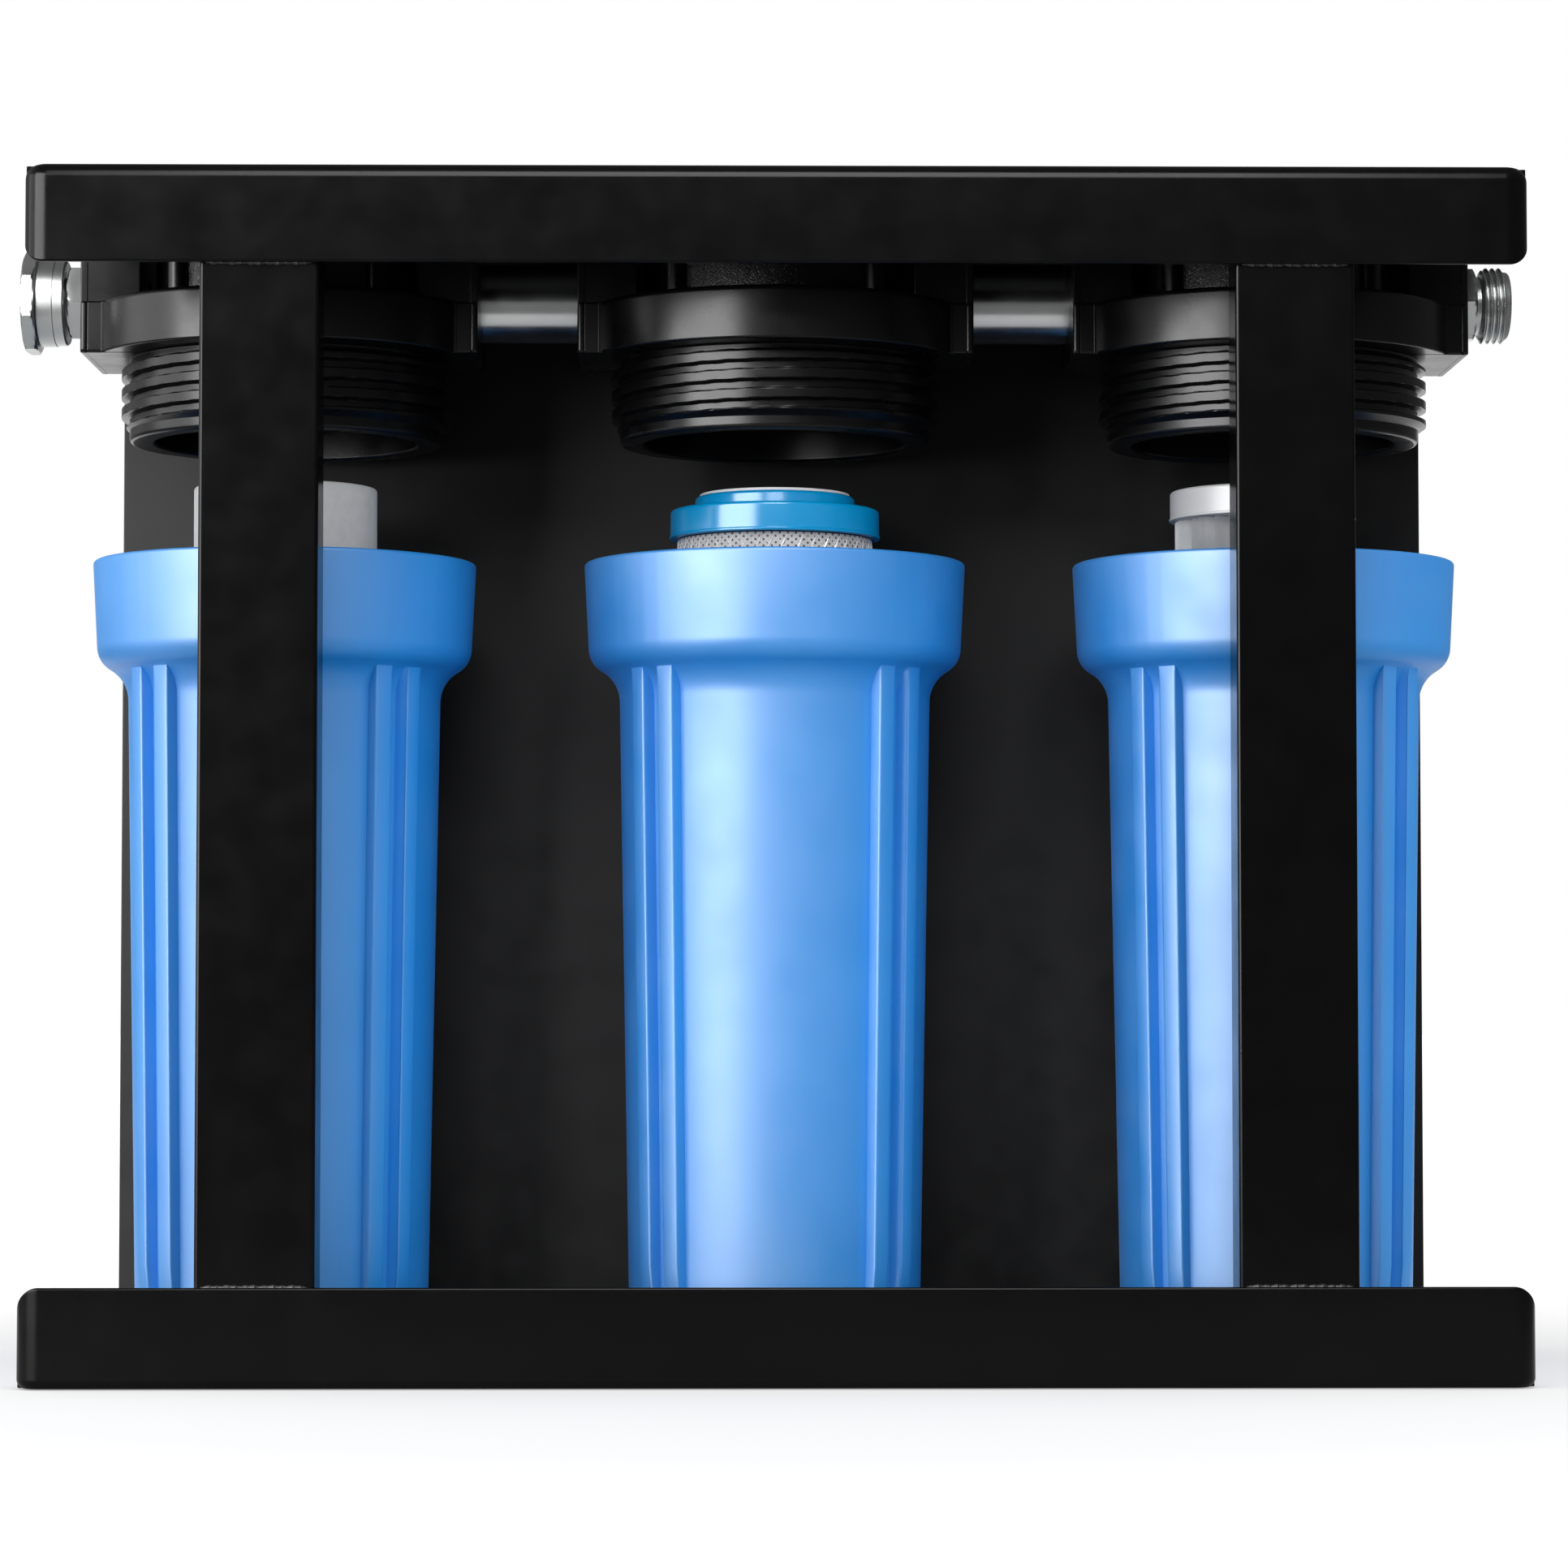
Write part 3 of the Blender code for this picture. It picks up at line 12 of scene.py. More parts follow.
import bmesh
import bpy
import numpy as np
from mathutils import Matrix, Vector


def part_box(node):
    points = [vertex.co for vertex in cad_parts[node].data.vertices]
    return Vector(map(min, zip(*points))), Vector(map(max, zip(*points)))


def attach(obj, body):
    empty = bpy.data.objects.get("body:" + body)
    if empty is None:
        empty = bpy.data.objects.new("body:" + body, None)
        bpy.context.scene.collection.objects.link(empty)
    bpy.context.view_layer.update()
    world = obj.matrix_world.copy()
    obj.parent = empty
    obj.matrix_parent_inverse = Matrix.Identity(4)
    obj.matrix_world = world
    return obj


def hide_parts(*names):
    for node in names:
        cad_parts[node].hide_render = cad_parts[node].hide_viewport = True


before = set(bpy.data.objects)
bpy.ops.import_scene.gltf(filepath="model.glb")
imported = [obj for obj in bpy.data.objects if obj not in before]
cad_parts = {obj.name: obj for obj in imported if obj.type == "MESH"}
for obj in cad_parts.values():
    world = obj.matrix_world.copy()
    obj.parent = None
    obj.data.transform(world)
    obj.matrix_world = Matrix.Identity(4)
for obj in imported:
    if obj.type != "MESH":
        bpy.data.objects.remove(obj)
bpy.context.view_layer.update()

LOG = logging.getLogger("water_filter")
Array = np.ndarray
Mesh = bpy.types.Mesh
Tree = bpy.types.NodeTree
Socket = bpy.types.NodeSocket
Rows = tuple[tuple[float, ...], ...]
FULL_TURN = 2 * math.pi
QUARTER = math.pi / 2
SHEET = 0.002  # thickness of the frame's sheet
SEAM = 0.0003  # gap between pieces that touch
PITCH = 0.0065  # of the threads between heads and sumps
SAME = 1e-6  # radii closer than this are one wall
SHARP = math.radians(35.0)  # edges that turn by more stay crisp


def middle(node: str) -> Array:
    """Return the middle of a node's box at rest."""
    low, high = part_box(node)
    return (np.array(low) + np.array(high)) / 2


class Station(Enum):
    """The three places of a filter head, from the inlet to the outlet."""

    LEFT = "left"
    CENTRE = "centre"
    RIGHT = "right"

    def axis(self) -> Array:
        """Return the point where the axis of this station meets the ground."""
        return middle(f"filter_head_{self.value}") * [1, 1, 0]


class Slot(Enum):
    """Material slots of the record."""

    FRAME = "powder_coat"
    HEAD = "head_plastic"
    STEEL = "stainless"
    SCREW = "screw_steel"
    SUMP = "sump_plastic"
    BLUE_CAP = "cap_blue"
    WHITE_CAP = "cap_white"
    GASKET = "gasket_white"
    NETTING = "netting_white"
    SPUN = "spun_media"
    PLEATS = "pleated_media"
    CARBON = "carbon"
    RUBBER = "rubber"


# Surfaces


@dataclass
class Shell:
    """A surface in the making: its points, its four-sided faces and its flat caps."""

    points: Array
    quads: Array
    caps: list[Array] = field(default_factory=list)

    def joined(self, *others: "Shell") -> "Shell":
        """Return one shell with the points and faces of this one and the others."""
        shells = (self, *others)
        starts = np.cumsum([0, *(len(shell.points) for shell in shells)])
        caps = [cap + start for shell, start in zip(shells, starts) for cap in shell.caps]
        quads = [shell.quads + start for shell, start in zip(shells, starts)]
        return Shell(np.concatenate([s.points for s in shells]), np.concatenate(quads), caps)

    def reshaped(self, points: Array) -> "Shell":
        """Return this shell with other points."""
        return Shell(points, self.quads, self.caps)

    def moved(self, offset: Array) -> "Shell":
        """Return this shell shifted by an offset."""
        return self.reshaped(self.points + np.asarray(offset))

    def laid(self, outward: int, offset: Array) -> "Shell":
        """Lay the Z axis along X and shift: (x, y, z) becomes (z, y, -x), or (-z, y, x) to the left.

        Args:
            outward: 1 to point to +X, -1 to point to -X.
            offset: Where the origin goes.

        Returns:
            The shell in its new place.
        """
        x, y, z = self.points.T
        return self.reshaped(np.stack([z * outward, y, x * -outward], axis=1)).moved(offset)


def grid(points: Array, closed: bool = False) -> Shell:
    """Join a ring of lines with four-sided faces: (i, j), (i + 1, j), (i + 1, j + 1), (i, j + 1).

    Args:
        points: An array of shape (u, v, 3), whose last row along u meets the first.
        closed: Whether the last row along v meets the first too.

    Returns:
        The shell of the grid.
    """
    index = np.arange(points.shape[0] * points.shape[1]).reshape(points.shape[:2])
    index = np.concatenate([index, index[:1]])
    if closed:
        index = np.concatenate([index, index[:, :1]], axis=1)
    corners = [index[:-1, :-1], index[1:, :-1], index[1:, 1:], index[:-1, 1:]]
    return Shell(points.reshape(-1, 3), np.stack(corners, axis=-1).reshape(-1, 4))


def capped(points: Array, downward: bool = False) -> Shell:
    """Return the grid of points of shape (u, v, 3) with a flat cap over its first and its last ring."""
    shell = grid(points)
    index = np.arange(len(shell.points)).reshape(len(points), -1)
    shell.caps = [index[:, 0], index[::-1, -1]] if downward else [index[::-1, 0], index[:, -1]]
    return shell


def turns(count: int) -> Array:
    """Return a full turn in equal steps, as a column."""
    return np.linspace(0, FULL_TURN, count, endpoint=False)[:, None]


def carried_round(radius: Array, turn: Array, height: Array) -> Array:
    """Return the points x = r cos t, y = r sin t, z = height, along a new last axis."""
    return np.stack([radius * np.cos(turn), radius * np.sin(turn), height + 0 * turn], axis=-1)


def rectangle(left: float, right: float, low: float, high: float) -> list[tuple[float, float]]:
    """Return the corners of a rectangle, anticlockwise from its lowest left one."""
    return [(left, low), (right, low), (right, high), (left, high)]


def filleted(corners: Any, radii: Any, steps: int, closed: bool = True) -> Array:
    """Round the corners of a line. An arc starts radius * tan(turn / 2) before its corner.

    Args:
        corners: Points of shape (n, 2).
        radii: One radius for each corner, or one for all.
        steps: Parts of each arc.
        closed: Whether the last point meets the first.

    Returns:
        The points of the rounded line, of shape (m, 2).
    """
    corners = np.asarray(corners, float)
    radii = np.broadcast_to(np.asarray(radii, float), len(corners))
    arriving = corners - np.roll(corners, 1, axis=0)
    leaving = np.roll(corners, -1, axis=0) - corners
    if not closed:
        arriving[0] = leaving[0]
        leaving[-1] = arriving[-1]
    arriving = arriving / np.linalg.norm(arriving, axis=1, keepdims=True)
    leaving = leaving / np.linalg.norm(leaving, axis=1, keepdims=True)
    cross = arriving[:, 0] * leaving[:, 1] - arriving[:, 1] * leaving[:, 0]
    turn = np.arctan2(cross, (arriving * leaving).sum(axis=1))
    start = corners - arriving * (radii * np.tan(np.abs(turn) / 2))[:, None]
    inward = np.stack([-arriving[:, 1], arriving[:, 0]], axis=1) * np.sign(turn)[:, None]
    centre = start + inward * radii[:, None]
    angle = turn[:, None] * np.linspace(0, 1, steps + 1)
    arm = start - centre
    x = arm[:, :1] * np.cos(angle) - arm[:, 1:] * np.sin(angle)
    y = arm[:, :1] * np.sin(angle) + arm[:, 1:] * np.cos(angle)
    line = (centre[:, None] + np.stack([x, y], axis=2)).reshape(-1, 2)
    apart = np.linalg.norm(np.diff(line, axis=0), axis=1) > 1e-7
    return line[np.concatenate([[True], apart])]


def rounded(rows: list[tuple[float, float, float]], steps: int, closed: bool = True) -> Array:
    """Round the corners of a profile.

    Args:
        rows: Radius, height and corner radius of each corner.
        steps: Parts of each arc.
        closed: Whether the profile is a ring.

    Returns:
        The points of the rounded profile.
    """
    table = np.array(rows)
    return filleted(table[:, :2], table[:, 2], steps, closed)


def divided(line: Array, longest: float) -> Array:
    """Split the long parts of a line into equal parts no longer than a length.

    Args:
        line: Points of shape (n, 2).
        longest: The longest part that may stay.

    Returns:
        The points of the divided line.
    """
    run = np.concatenate([[0.0], np.cumsum(np.linalg.norm(np.diff(line, axis=0), axis=1))])
    counts = np.maximum(np.ceil(np.diff(run) / longest - 1e-6).astype(int), 1)
    part = np.repeat(np.diff(run) / counts, counts)
    places = np.concatenate([[0.0], np.cumsum(part)])
    return np.stack([np.interp(places, run, line[:, k]) for k in (0, 1)], axis=1)


def wall_divided(line: Array, radius: float, rows: int) -> Array:
    """Divide the upright wall of a profile anew, for a thread.

    Args:
        line: Points (radius, height) of the profile.
        radius: Radius of the wall.
        rows: Evenly spaced points on the wall.

    Returns:
        The points of the profile with the new wall.
    """
    first, last = np.flatnonzero(np.abs(line[:, 0] - radius) < SAME)[[0, -1]]
    heights = np.linspace(line[first, 1], line[last, 1], rows)
    wall = np.stack([0 * heights + radius, heights], axis=1)
    return np.concatenate([line[:first], wall, line[last + 1 :]])


def lathe(profile: Array, segments: int, closed: bool = True) -> Shell:
    """Turn a profile round Z.

    Args:
        profile: Points (radius, height) of shape (n, 2).
        segments: Parts of a full turn.
        closed: Whether the profile is a ring, as of a tube.

    Returns:
        The turned shell.
    """
    return grid(carried_round(profile[:, 0], turns(segments), profile[:, 1]), closed)


def rod(radius: float, low: float, high: float, segments: int, edge: float = 0.0) -> Shell:
    """Return a solid rod along Z, its rims rounded by an edge."""
    corners = [(0.0, low), (radius, low), (radius, high), (0.0, high)]
    return lathe(filleted(corners, [0, edge, edge, 0], 3, closed=False), segments, closed=False)


def outline_normals(outline: Array) -> Array:
    """Outward mitres of an anticlockwise outline: (a + b) / (1 + a . b) for its sides' normals a and b.

    Args:
        outline: Points of shape (n, 2).

    Returns:
        One mitre for each point.
    """
    side = np.roll(outline, -1, axis=0) - outline
    side = side / np.linalg.norm(side, axis=1, keepdims=True)
    after = np.stack([side[:, 1], -side[:, 0]], axis=1)
    before = np.roll(after, 1, axis=0)
    return (after + before) / (1 + (after * before).sum(axis=1, keepdims=True))


def rounded_prism(outline: Array, low: float, high: float, edge: float) -> Shell:
    """A prism over an outline whose rims are rounded: inset e (1 - sin a) at height e (1 - cos a).

    Args:
        outline: Anticlockwise points of shape (n, 2).
        low: Height of the lower cap.
        high: Height of the upper cap.
        edge: Radius of the two rims.

    Returns:
        The closed shell, along Z.
    """
    angle = np.linspace(0, QUARTER, 5)
    inset = edge * (1 - np.sin(angle))
    rise = edge * (1 - np.cos(angle))
    insets = np.concatenate([inset, inset[::-1]])
    heights = np.concatenate([low + rise, high - rise[::-1]])
    normals = outline_normals(outline)
    flat = outline[:, None] - normals[:, None] * insets[None, :, None]
    return capped(np.concatenate([flat, np.broadcast_to(heights[:, None], (*flat.shape[:2], 1))], axis=2))


def rounded_box(low: tuple[float, ...], high: tuple[float, ...], edge: float) -> Shell:
    """Return a box between its lowest and highest corner, all its edges rounded."""
    corners = rectangle(low[0], high[0], low[1], high[1])
    return rounded_prism(filleted(corners, edge, 4), low[2], high[2], edge)


def swept_tube(path: Array, radius: float, sides: int) -> Shell:
    """A tube round a path, its section turned by the path's direction and the axis of the object.

    Args:
        path: Points of shape (n, 3), away from the Z axis.
        radius: Radius of the tube.
        sides: Corners of its section.

    Returns:
        The shell, with its ends drawn together.
    """
    along = np.gradient(path, axis=0)
    along = along / np.linalg.norm(along, axis=1, keepdims=True)
    outward = path * np.array([1.0, 1.0, 0.0])
    outward = outward - (outward * along).sum(axis=1, keepdims=True) * along
    outward = outward / np.linalg.norm(outward, axis=1, keepdims=True)
    side = np.cross(along, outward)
    turn = turns(sides)[:, None]
    width = np.full((len(path), 1), radius)
    width[[0, -1]] = 0.0
    return grid(path + width * (np.cos(turn) * outward + np.sin(turn) * side))


def read(data: bpy.types.bpy_prop_collection, name: str, kind: type = float, parts: int = 1) -> Array:
    """Read one property of all elements of a mesh.

    Args:
        data: The elements.
        name: The property.
        kind: Type of its numbers.
        parts: How many numbers each element has.

    Returns:
        One number or row for each element.
    """
    values = np.empty(parts * len(data), kind)
    data.foreach_get(name, values)
    return values.reshape(-1, parts) if parts > 1 else values


def shaded(mesh: Mesh) -> Mesh:
    """Return the mesh shaded smooth, its sharp edges crisp."""
    mesh.shade_smooth()
    mesh.set_sharp_from_angle(angle=SHARP)
    return mesh


def mesh_of(name: str, shell: Shell) -> Mesh:
    """A mesh of a shell, its doubles merged and its faces turned outwards.

    Args:
        name: Name of the mesh.
        shell: The surface.

    Returns:
        The mesh, shaded.
    """
    mesh = bpy.data.meshes.new(name)
    mesh.from_pydata(shell.points.tolist(), [], shell.quads.tolist() + [c.tolist() for c in shell.caps])
    bm = bmesh.new()
    bm.from_mesh(mesh)
    bmesh.ops.remove_doubles(bm, verts=bm.verts, dist=2e-6)
    bmesh.ops.dissolve_degenerate(bm, edges=bm.edges, dist=1e-6)
    bmesh.ops.recalc_face_normals(bm, faces=bm.faces)
    bm.to_mesh(mesh)
    bm.free()
    return shaded(mesh)


def linked(name: str, data: bpy.types.ID) -> bpy.types.Object:
    """Return a new object of some data, linked to the scene."""
    made = bpy.data.objects.new(name, data)
    bpy.context.scene.collection.objects.link(made)
    return made


def carved(name: str, base: Shell, steps: list[tuple[str, Shell]]) -> Mesh:
    """A mesh after a list of exact Boolean steps.

    Args:
        name: Name of the mesh.
        base: The shell to start from.
        steps: Pairs of an operation (UNION or DIFFERENCE) and a shell.

    Returns:
        The finished mesh.
    """
    worked = linked(name, mesh_of(name, base))
    helpers = []
    for operation, shell in steps:
        helpers.append(linked("cutter", mesh_of("cutter", shell)))
        modifier = worked.modifiers.new(operation.title(), "BOOLEAN")
        modifier.operation = operation
        modifier.solver = "EXACT"
        modifier.object = helpers[-1]
    mesh = bpy.data.meshes.new_from_object(worked.evaluated_get(bpy.context.evaluated_depsgraph_get()))
    for used in (worked, *helpers):
        bpy.data.objects.remove(used, do_unlink=True)
    return shaded(mesh)


def dressed(
    name: str,
    mesh: Mesh | Shell,
    finish: "Finish",
    body: str,
    node: str | None,
    flat_faces: bool = False,
) -> None:
    """Add the object of a mesh, with its finish, on its body and in place of its node.

    Args:
        name: Name of the piece.
        mesh: Its mesh, or the shell to make it from.
        finish: What it is finished in.
        body: The body that it moves with.
        node: The node that it stands for, if any.
        flat_faces: Whether large flat faces shade flat beside their rounded edges.
    """
    if isinstance(mesh, Shell):
        mesh = mesh_of(name, mesh)
    piece = linked(name, mesh)
    if not mesh.materials:
        mesh.materials.append(finish.material())
    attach(piece, body)
    if node:
        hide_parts(node)
    if flat_faces:
        weighted = piece.modifiers.new("Flat faces", "WEIGHTED_NORMAL")
        weighted.keep_sharp = True
    LOG.info("%s: %d faces", name, len(mesh.polygons))


# Finishes


def linear(colour: str) -> tuple[float, float, float, float]:
    """Return the linear RGBA of an sRGB hex colour: ((s + 0.055) / 1.055) ** 2.4 over a straight foot."""
    shares = [int(colour[i : i + 2], 16) / 255 for i in (1, 3, 5)]
    return (*(s / 12.92 if s <= 0.04045 else ((s + 0.055) / 1.055) ** 2.4 for s in shares), 1.0)


def add_node(
    tree: Tree,
    kind: str,
    settings: dict[str, Any] | None = None,
    inputs: dict[str, Any] | None = None,
) -> bpy.types.Node:
    """Add a shader node, set its properties, and fill or link its sockets.

    Args:
        tree: The node tree.
        kind: Type of the node, without its "ShaderNode" prefix.
        settings: Properties of the node.
        inputs: For a socket's name or number, a value or the socket to link from.

    Returns:
        The node.
    """
    node = tree.nodes.new(f"ShaderNode{kind}")
    for name, value in (settings or {}).items():
        setattr(node, name, value)
    for name, value in (inputs or {}).items():
        if isinstance(value, Socket):
            tree.links.new(value, node.inputs[name])
        else:
            node.inputs[name].default_value = value
    return node


def noise(tree: Tree, place: Socket, size: float, detail: float, roughness: float = 0.5) -> Socket:
    """A cloudy noise.

    Args:
        tree: The node tree.
        place: Coordinates.
        size: Size of a cloud in millimetres.
        detail: Number of finer layers.
        roughness: Share of each finer layer.

    Returns:
        The socket with the noise, from 0 to 1.
    """
    inputs = {"Vector": place, "Scale": 1000 / size, "Detail": detail, "Roughness": roughness}
    return add_node(tree, "TexNoise", None, inputs).outputs["Fac"]


def calculated(tree: Tree, operation: str, *values: Any, vector: bool = False) -> Socket:
    """The result of one operation on numbers or vectors.

    Args:
        tree: The node tree.
        operation: Name of the operation.
        values: Values or sockets.
        vector: Whether it works on vectors.

    Returns:
        The socket with the result.
    """
    kind, result = ("VectorMath", "Vector") if vector else ("Math", "Value")
    node = add_node(tree, kind, {"operation": operation}, dict(enumerate(values)))
    return node.outputs["Value" if operation == "LENGTH" else result]


def mapped(
    tree: Tree,
    value: Socket,
    span: tuple[float, float],
    low: Any = 0.0,
    high: Any = 1.0,
    smooth: bool = False,
) -> Socket:
    """Carry a value from one span to another, held at both ends.

    The result is low + (high - low) (value - start) / (end - start).

    Args:
        tree: The node tree.
        value: The socket to carry over.
        span: Where it starts and ends.
        low: What the start becomes.
        high: What the end becomes.
        smooth: Whether it eases in and out.

    Returns:
        The socket with the result.
    """
    settings = {"interpolation_type": "SMOOTHSTEP" if smooth else "LINEAR"}
    inputs = {"Value": value, "From Min": span[0], "From Max": span[1], "To Min": low, "To Max": high}
    return add_node(tree, "MapRange", settings, inputs).outputs["Result"]


def empty_tree(owner: bpy.types.Material | bpy.types.World) -> Tree:
    """Return the node tree of a material or world, switched on and emptied."""
    owner.use_nodes = True
    owner.node_tree.nodes.clear()
    return owner.node_tree


@dataclass(frozen=True)
class Finish:
    """A finish with a fine relief, slightly uneven in colour and gloss. Lengths are in millimetres."""

    name: str
    colour: str
    shade: str
    roughness: float
    metallic: float = 0.0
    grain: float = 0.8
    grain_depth: float = 0.01
    patch: float = 35.0
    gloss_spread: float = 0.06
    specular: float = 0.5
    subsurface: float = 0.0
    sheen: float = 0.0

    def relief(self, tree: Tree, place: Socket) -> Socket:
        """Return the height of the relief, from 0 to 1."""
        return noise(tree, place, self.grain, detail=2.0, roughness=0.55)

    def tint(self, tree: Tree, place: Socket) -> Socket:
        """Return the colour over the surface: the two colours in large soft patches."""
        ramp = add_node(tree, "ValToRGB", None, {"Fac": noise(tree, place, self.patch, detail=3.0)})
        ends = (0.35, self.shade), (0.65, self.colour)
        for stop, (position, colour) in zip(ramp.color_ramp.elements, ends):
            stop.position = position
            stop.color = linear(colour)
        return ramp.outputs["Color"]

    def gloss(self, tree: Tree, place: Socket) -> Socket:
        """Return the roughness over the surface."""
        cloud = noise(tree, place, self.patch * 0.4, detail=4.0)
        low, high = self.roughness - self.gloss_spread, self.roughness + self.gloss_spread
        return mapped(tree, cloud, (0.3, 0.7), low, high)

    def material(self) -> bpy.types.Material:
        """The material of this finish, made once: colour, gloss and relief on one shader.

        Returns:
            The material.
        """
        found = bpy.data.materials.get(self.name)
        if found:
            return found
        made = bpy.data.materials.new(self.name)
        tree = empty_tree(made)
        place = add_node(tree, "TexCoord").outputs["Object"]
        relief = {"Strength": 1.0, "Distance": self.grain_depth / 1000, "Height": self.relief(tree, place)}
        inputs = {
            "Base Color": self.tint(tree, place),
            "Roughness": self.gloss(tree, place),
            "Metallic": self.metallic,
            "Specular IOR Level": self.specular,
            "Subsurface Weight": self.subsurface,
            "Subsurface Scale": 0.004,
            "Sheen Weight": self.sheen,
            "Normal": add_node(tree, "Bump", None, relief).outputs["Normal"],
        }
        shader = add_node(tree, "BsdfPrincipled", None, inputs)
        add_node(tree, "OutputMaterial", None, {"Surface": shader.outputs["BSDF"]})
        return made


@dataclass(frozen=True)
class PowderCoat(Finish):
    """Satin powder coat: orange peel, with an odd speck."""

    speck_spacing: float = 7.0

    def relief(self, tree: Tree, place: Socket) -> Socket:
        """Orange peel with a few small proud specks."""
        peel = noise(tree, place, self.grain, detail=1.5)
        cells = add_node(tree, "TexVoronoi", None, {"Vector": place, "Scale": 1000 / self.speck_spacing})
        speck = mapped(tree, cells.outputs["Distance"], (0.02, 0.07), 1.2, 0.0)
        return calculated(tree, "ADD", peel, speck)


@dataclass(frozen=True)
class LeatherGrain(Finish):
    """Moulded leather grain: rounded cells parted by fine creases."""

    def relief(self, tree: Tree, place: Socket) -> Socket:
        """Cells that rise from their creases."""
        settings = {"feature": "DISTANCE_TO_EDGE"}
        cells = add_node(tree, "TexVoronoi", settings, {"Vector": place, "Scale": 1000 / self.grain})
        return mapped(tree, cells.outputs["Distance"], (0.0, 0.35), smooth=True)


@dataclass(frozen=True)
class DrawnFinish(Finish):
    """A finish whose noise is drawn out: fewer clouds to a length along an axis with a small stretch."""

    stretch: tuple[float, float, float] = (1.0, 0.02, 0.02)
    detail: float = 3.0
    strength: float = 0.6

    def relief(self, tree: Tree, place: Socket) -> Socket:
        """Fine lines, broken up by a soft noise."""
        drawn = add_node(tree, "Mapping", None, {"Vector": place, "Scale": self.stretch}).outputs["Vector"]
        return noise(tree, drawn, self.grain, self.detail, self.strength)


@dataclass(frozen=True)
class DottedWrap(Finish):
    """Light non-woven wrap, spot bonded with staggered dots. The cell is in millimetres, round and up."""

    dot_colour: str = "#3d3b39"
    cell: tuple[float, float] = (2.75, 2.2)
    dot: float = 0.40

    def tint(self, tree: Tree, place: Socket) -> Socket:
        """Dots in rows half a cell apart, every other row shifted by half: nearest of two grids.

        Args:
            tree: The node tree.
            place: Object coordinates.

        Returns:
            The socket that carries the colour.
        """
        base = Finish.tint(self, tree, place)
        wrapped = add_node(tree, "UVMap").outputs["UV"]
        distances = []
        for shift in (0.0, 0.5):
            shifted = add_node(tree, "Mapping", None, {"Vector": wrapped, "Location": (shift, shift, 0.0)})
            part = calculated(tree, "FRACTION", shifted.outputs["Vector"], vector=True)
            from_dot = calculated(tree, "SUBTRACT", part, (0.5, 0.5, 0.0), vector=True)
            apart = calculated(tree, "MULTIPLY", from_dot, (*self.cell, 0.0), vector=True)
            distances.append(calculated(tree, "LENGTH", apart, vector=True))
        nearest = calculated(tree, "MINIMUM", *distances)
        share = mapped(tree, nearest, (self.dot * 0.75, self.dot * 1.25))
        colours = {"Factor": share, "A": linear(self.dot_colour), "B": base}
        mix = add_node(tree, "Mix", {"data_type": "RGBA"}, colours)
        return next(socket for socket in mix.outputs if socket.type == "RGBA")


def steel(name: str, colour: str, shade: str, roughness: float, **own: Any) -> DrawnFinish:
    """Return a bare steel with fine tool marks round the pipework's axis, or as stated."""
    fixed = {"metallic": 1.0, "grain": 0.25, "grain_depth": 0.0022, "gloss_spread": 0.03}
    return DrawnFinish(name, colour, shade, roughness, **(fixed | own))


DULL_BLACK = ("#0a0a0b", "#070708")
# Satin black powder coat on the frame's steel, and the duller one of its back panel
POWDER_BLACK = PowderCoat(
    "powder_black", "#080809", "#060607", 0.21, grain=1.1, gloss_spread=0.03, specular=0.13
)
PANEL_BLACK = PowderCoat(
    "powder_black_dull", *DULL_BLACK, 0.44, grain=1.1, grain_depth=0.012, specular=0.28
)
# Black polypropylene of the heads, plain and with the leather grain of their domes
HEAD_BLACK = Finish(
    "head_black", *DULL_BLACK, 0.29, grain=0.45, grain_depth=0.011, gloss_spread=0.04, specular=0.26
)
HEAD_GRAIN = LeatherGrain(
    "head_leather_grain", *DULL_BLACK, 0.33, grain=0.7, grain_depth=0.075, gloss_spread=0.04, specular=0.33
)
# Stainless steel: turned, drawn lengthwise, and polished pipe
STAINLESS = steel("machined_stainless", "#bfc1c0", "#b1b4b3", 0.27)
DRAWN_STEEL = steel(
    "drawn_stainless", "#bfc1c0", "#aeb1b0", 0.33, grain_depth=0.004, stretch=(0.03, 1.0, 1.0)
)
PIPE_STEEL = steel("pipe_stainless", "#cfd1d0", "#c0c3c2", 0.22)
# Zinc-plated steel of the head screws
SCREW_STEEL = Finish("zinc_steel", "#c4c6c8", "#b4b7ba", 0.34, metallic=1.0, grain=0.3, grain_depth=0.002)
# Light-blue polypropylene of the sumps, and the glossy blue and satin white plastic of the caps
SUMP_BLUE = Finish(
    "sump_blue", "#0b8ce0", "#0887db", 0.49, grain=0.5, grain_depth=0.006, patch=60.0, specular=1.0
)
CAP_BLUE = Finish("cap_blue", "#00c2fa", "#00bdf6", 0.13, grain=2.5, grain_depth=0.003, gloss_spread=0.02)
CAP_WHITE = Finish("cap_white", "#dedfdf", "#d8d9d9", 0.42, grain=0.6, grain_depth=0.006, subsurface=0.08)
# White closed-cell foam of the flat gaskets
GASKET_WHITE = Finish("gasket_white", "#e6e6e4", "#dfdfdd", 0.55, grain=0.5, grain_depth=0.008)
# Melt-blown fibre: a matted felt with short strands laid round the sleeve
SPUN_WHITE = DrawnFinish(
    "spun_fibre", "#dadad9", "#d2d2d2", 0.95, grain=0.5, grain_depth=0.14, patch=4.0, specular=0.2,
    sheen=0.15, stretch=(0.45, 0.45, 1.4), detail=5.0, strength=0.7,
)
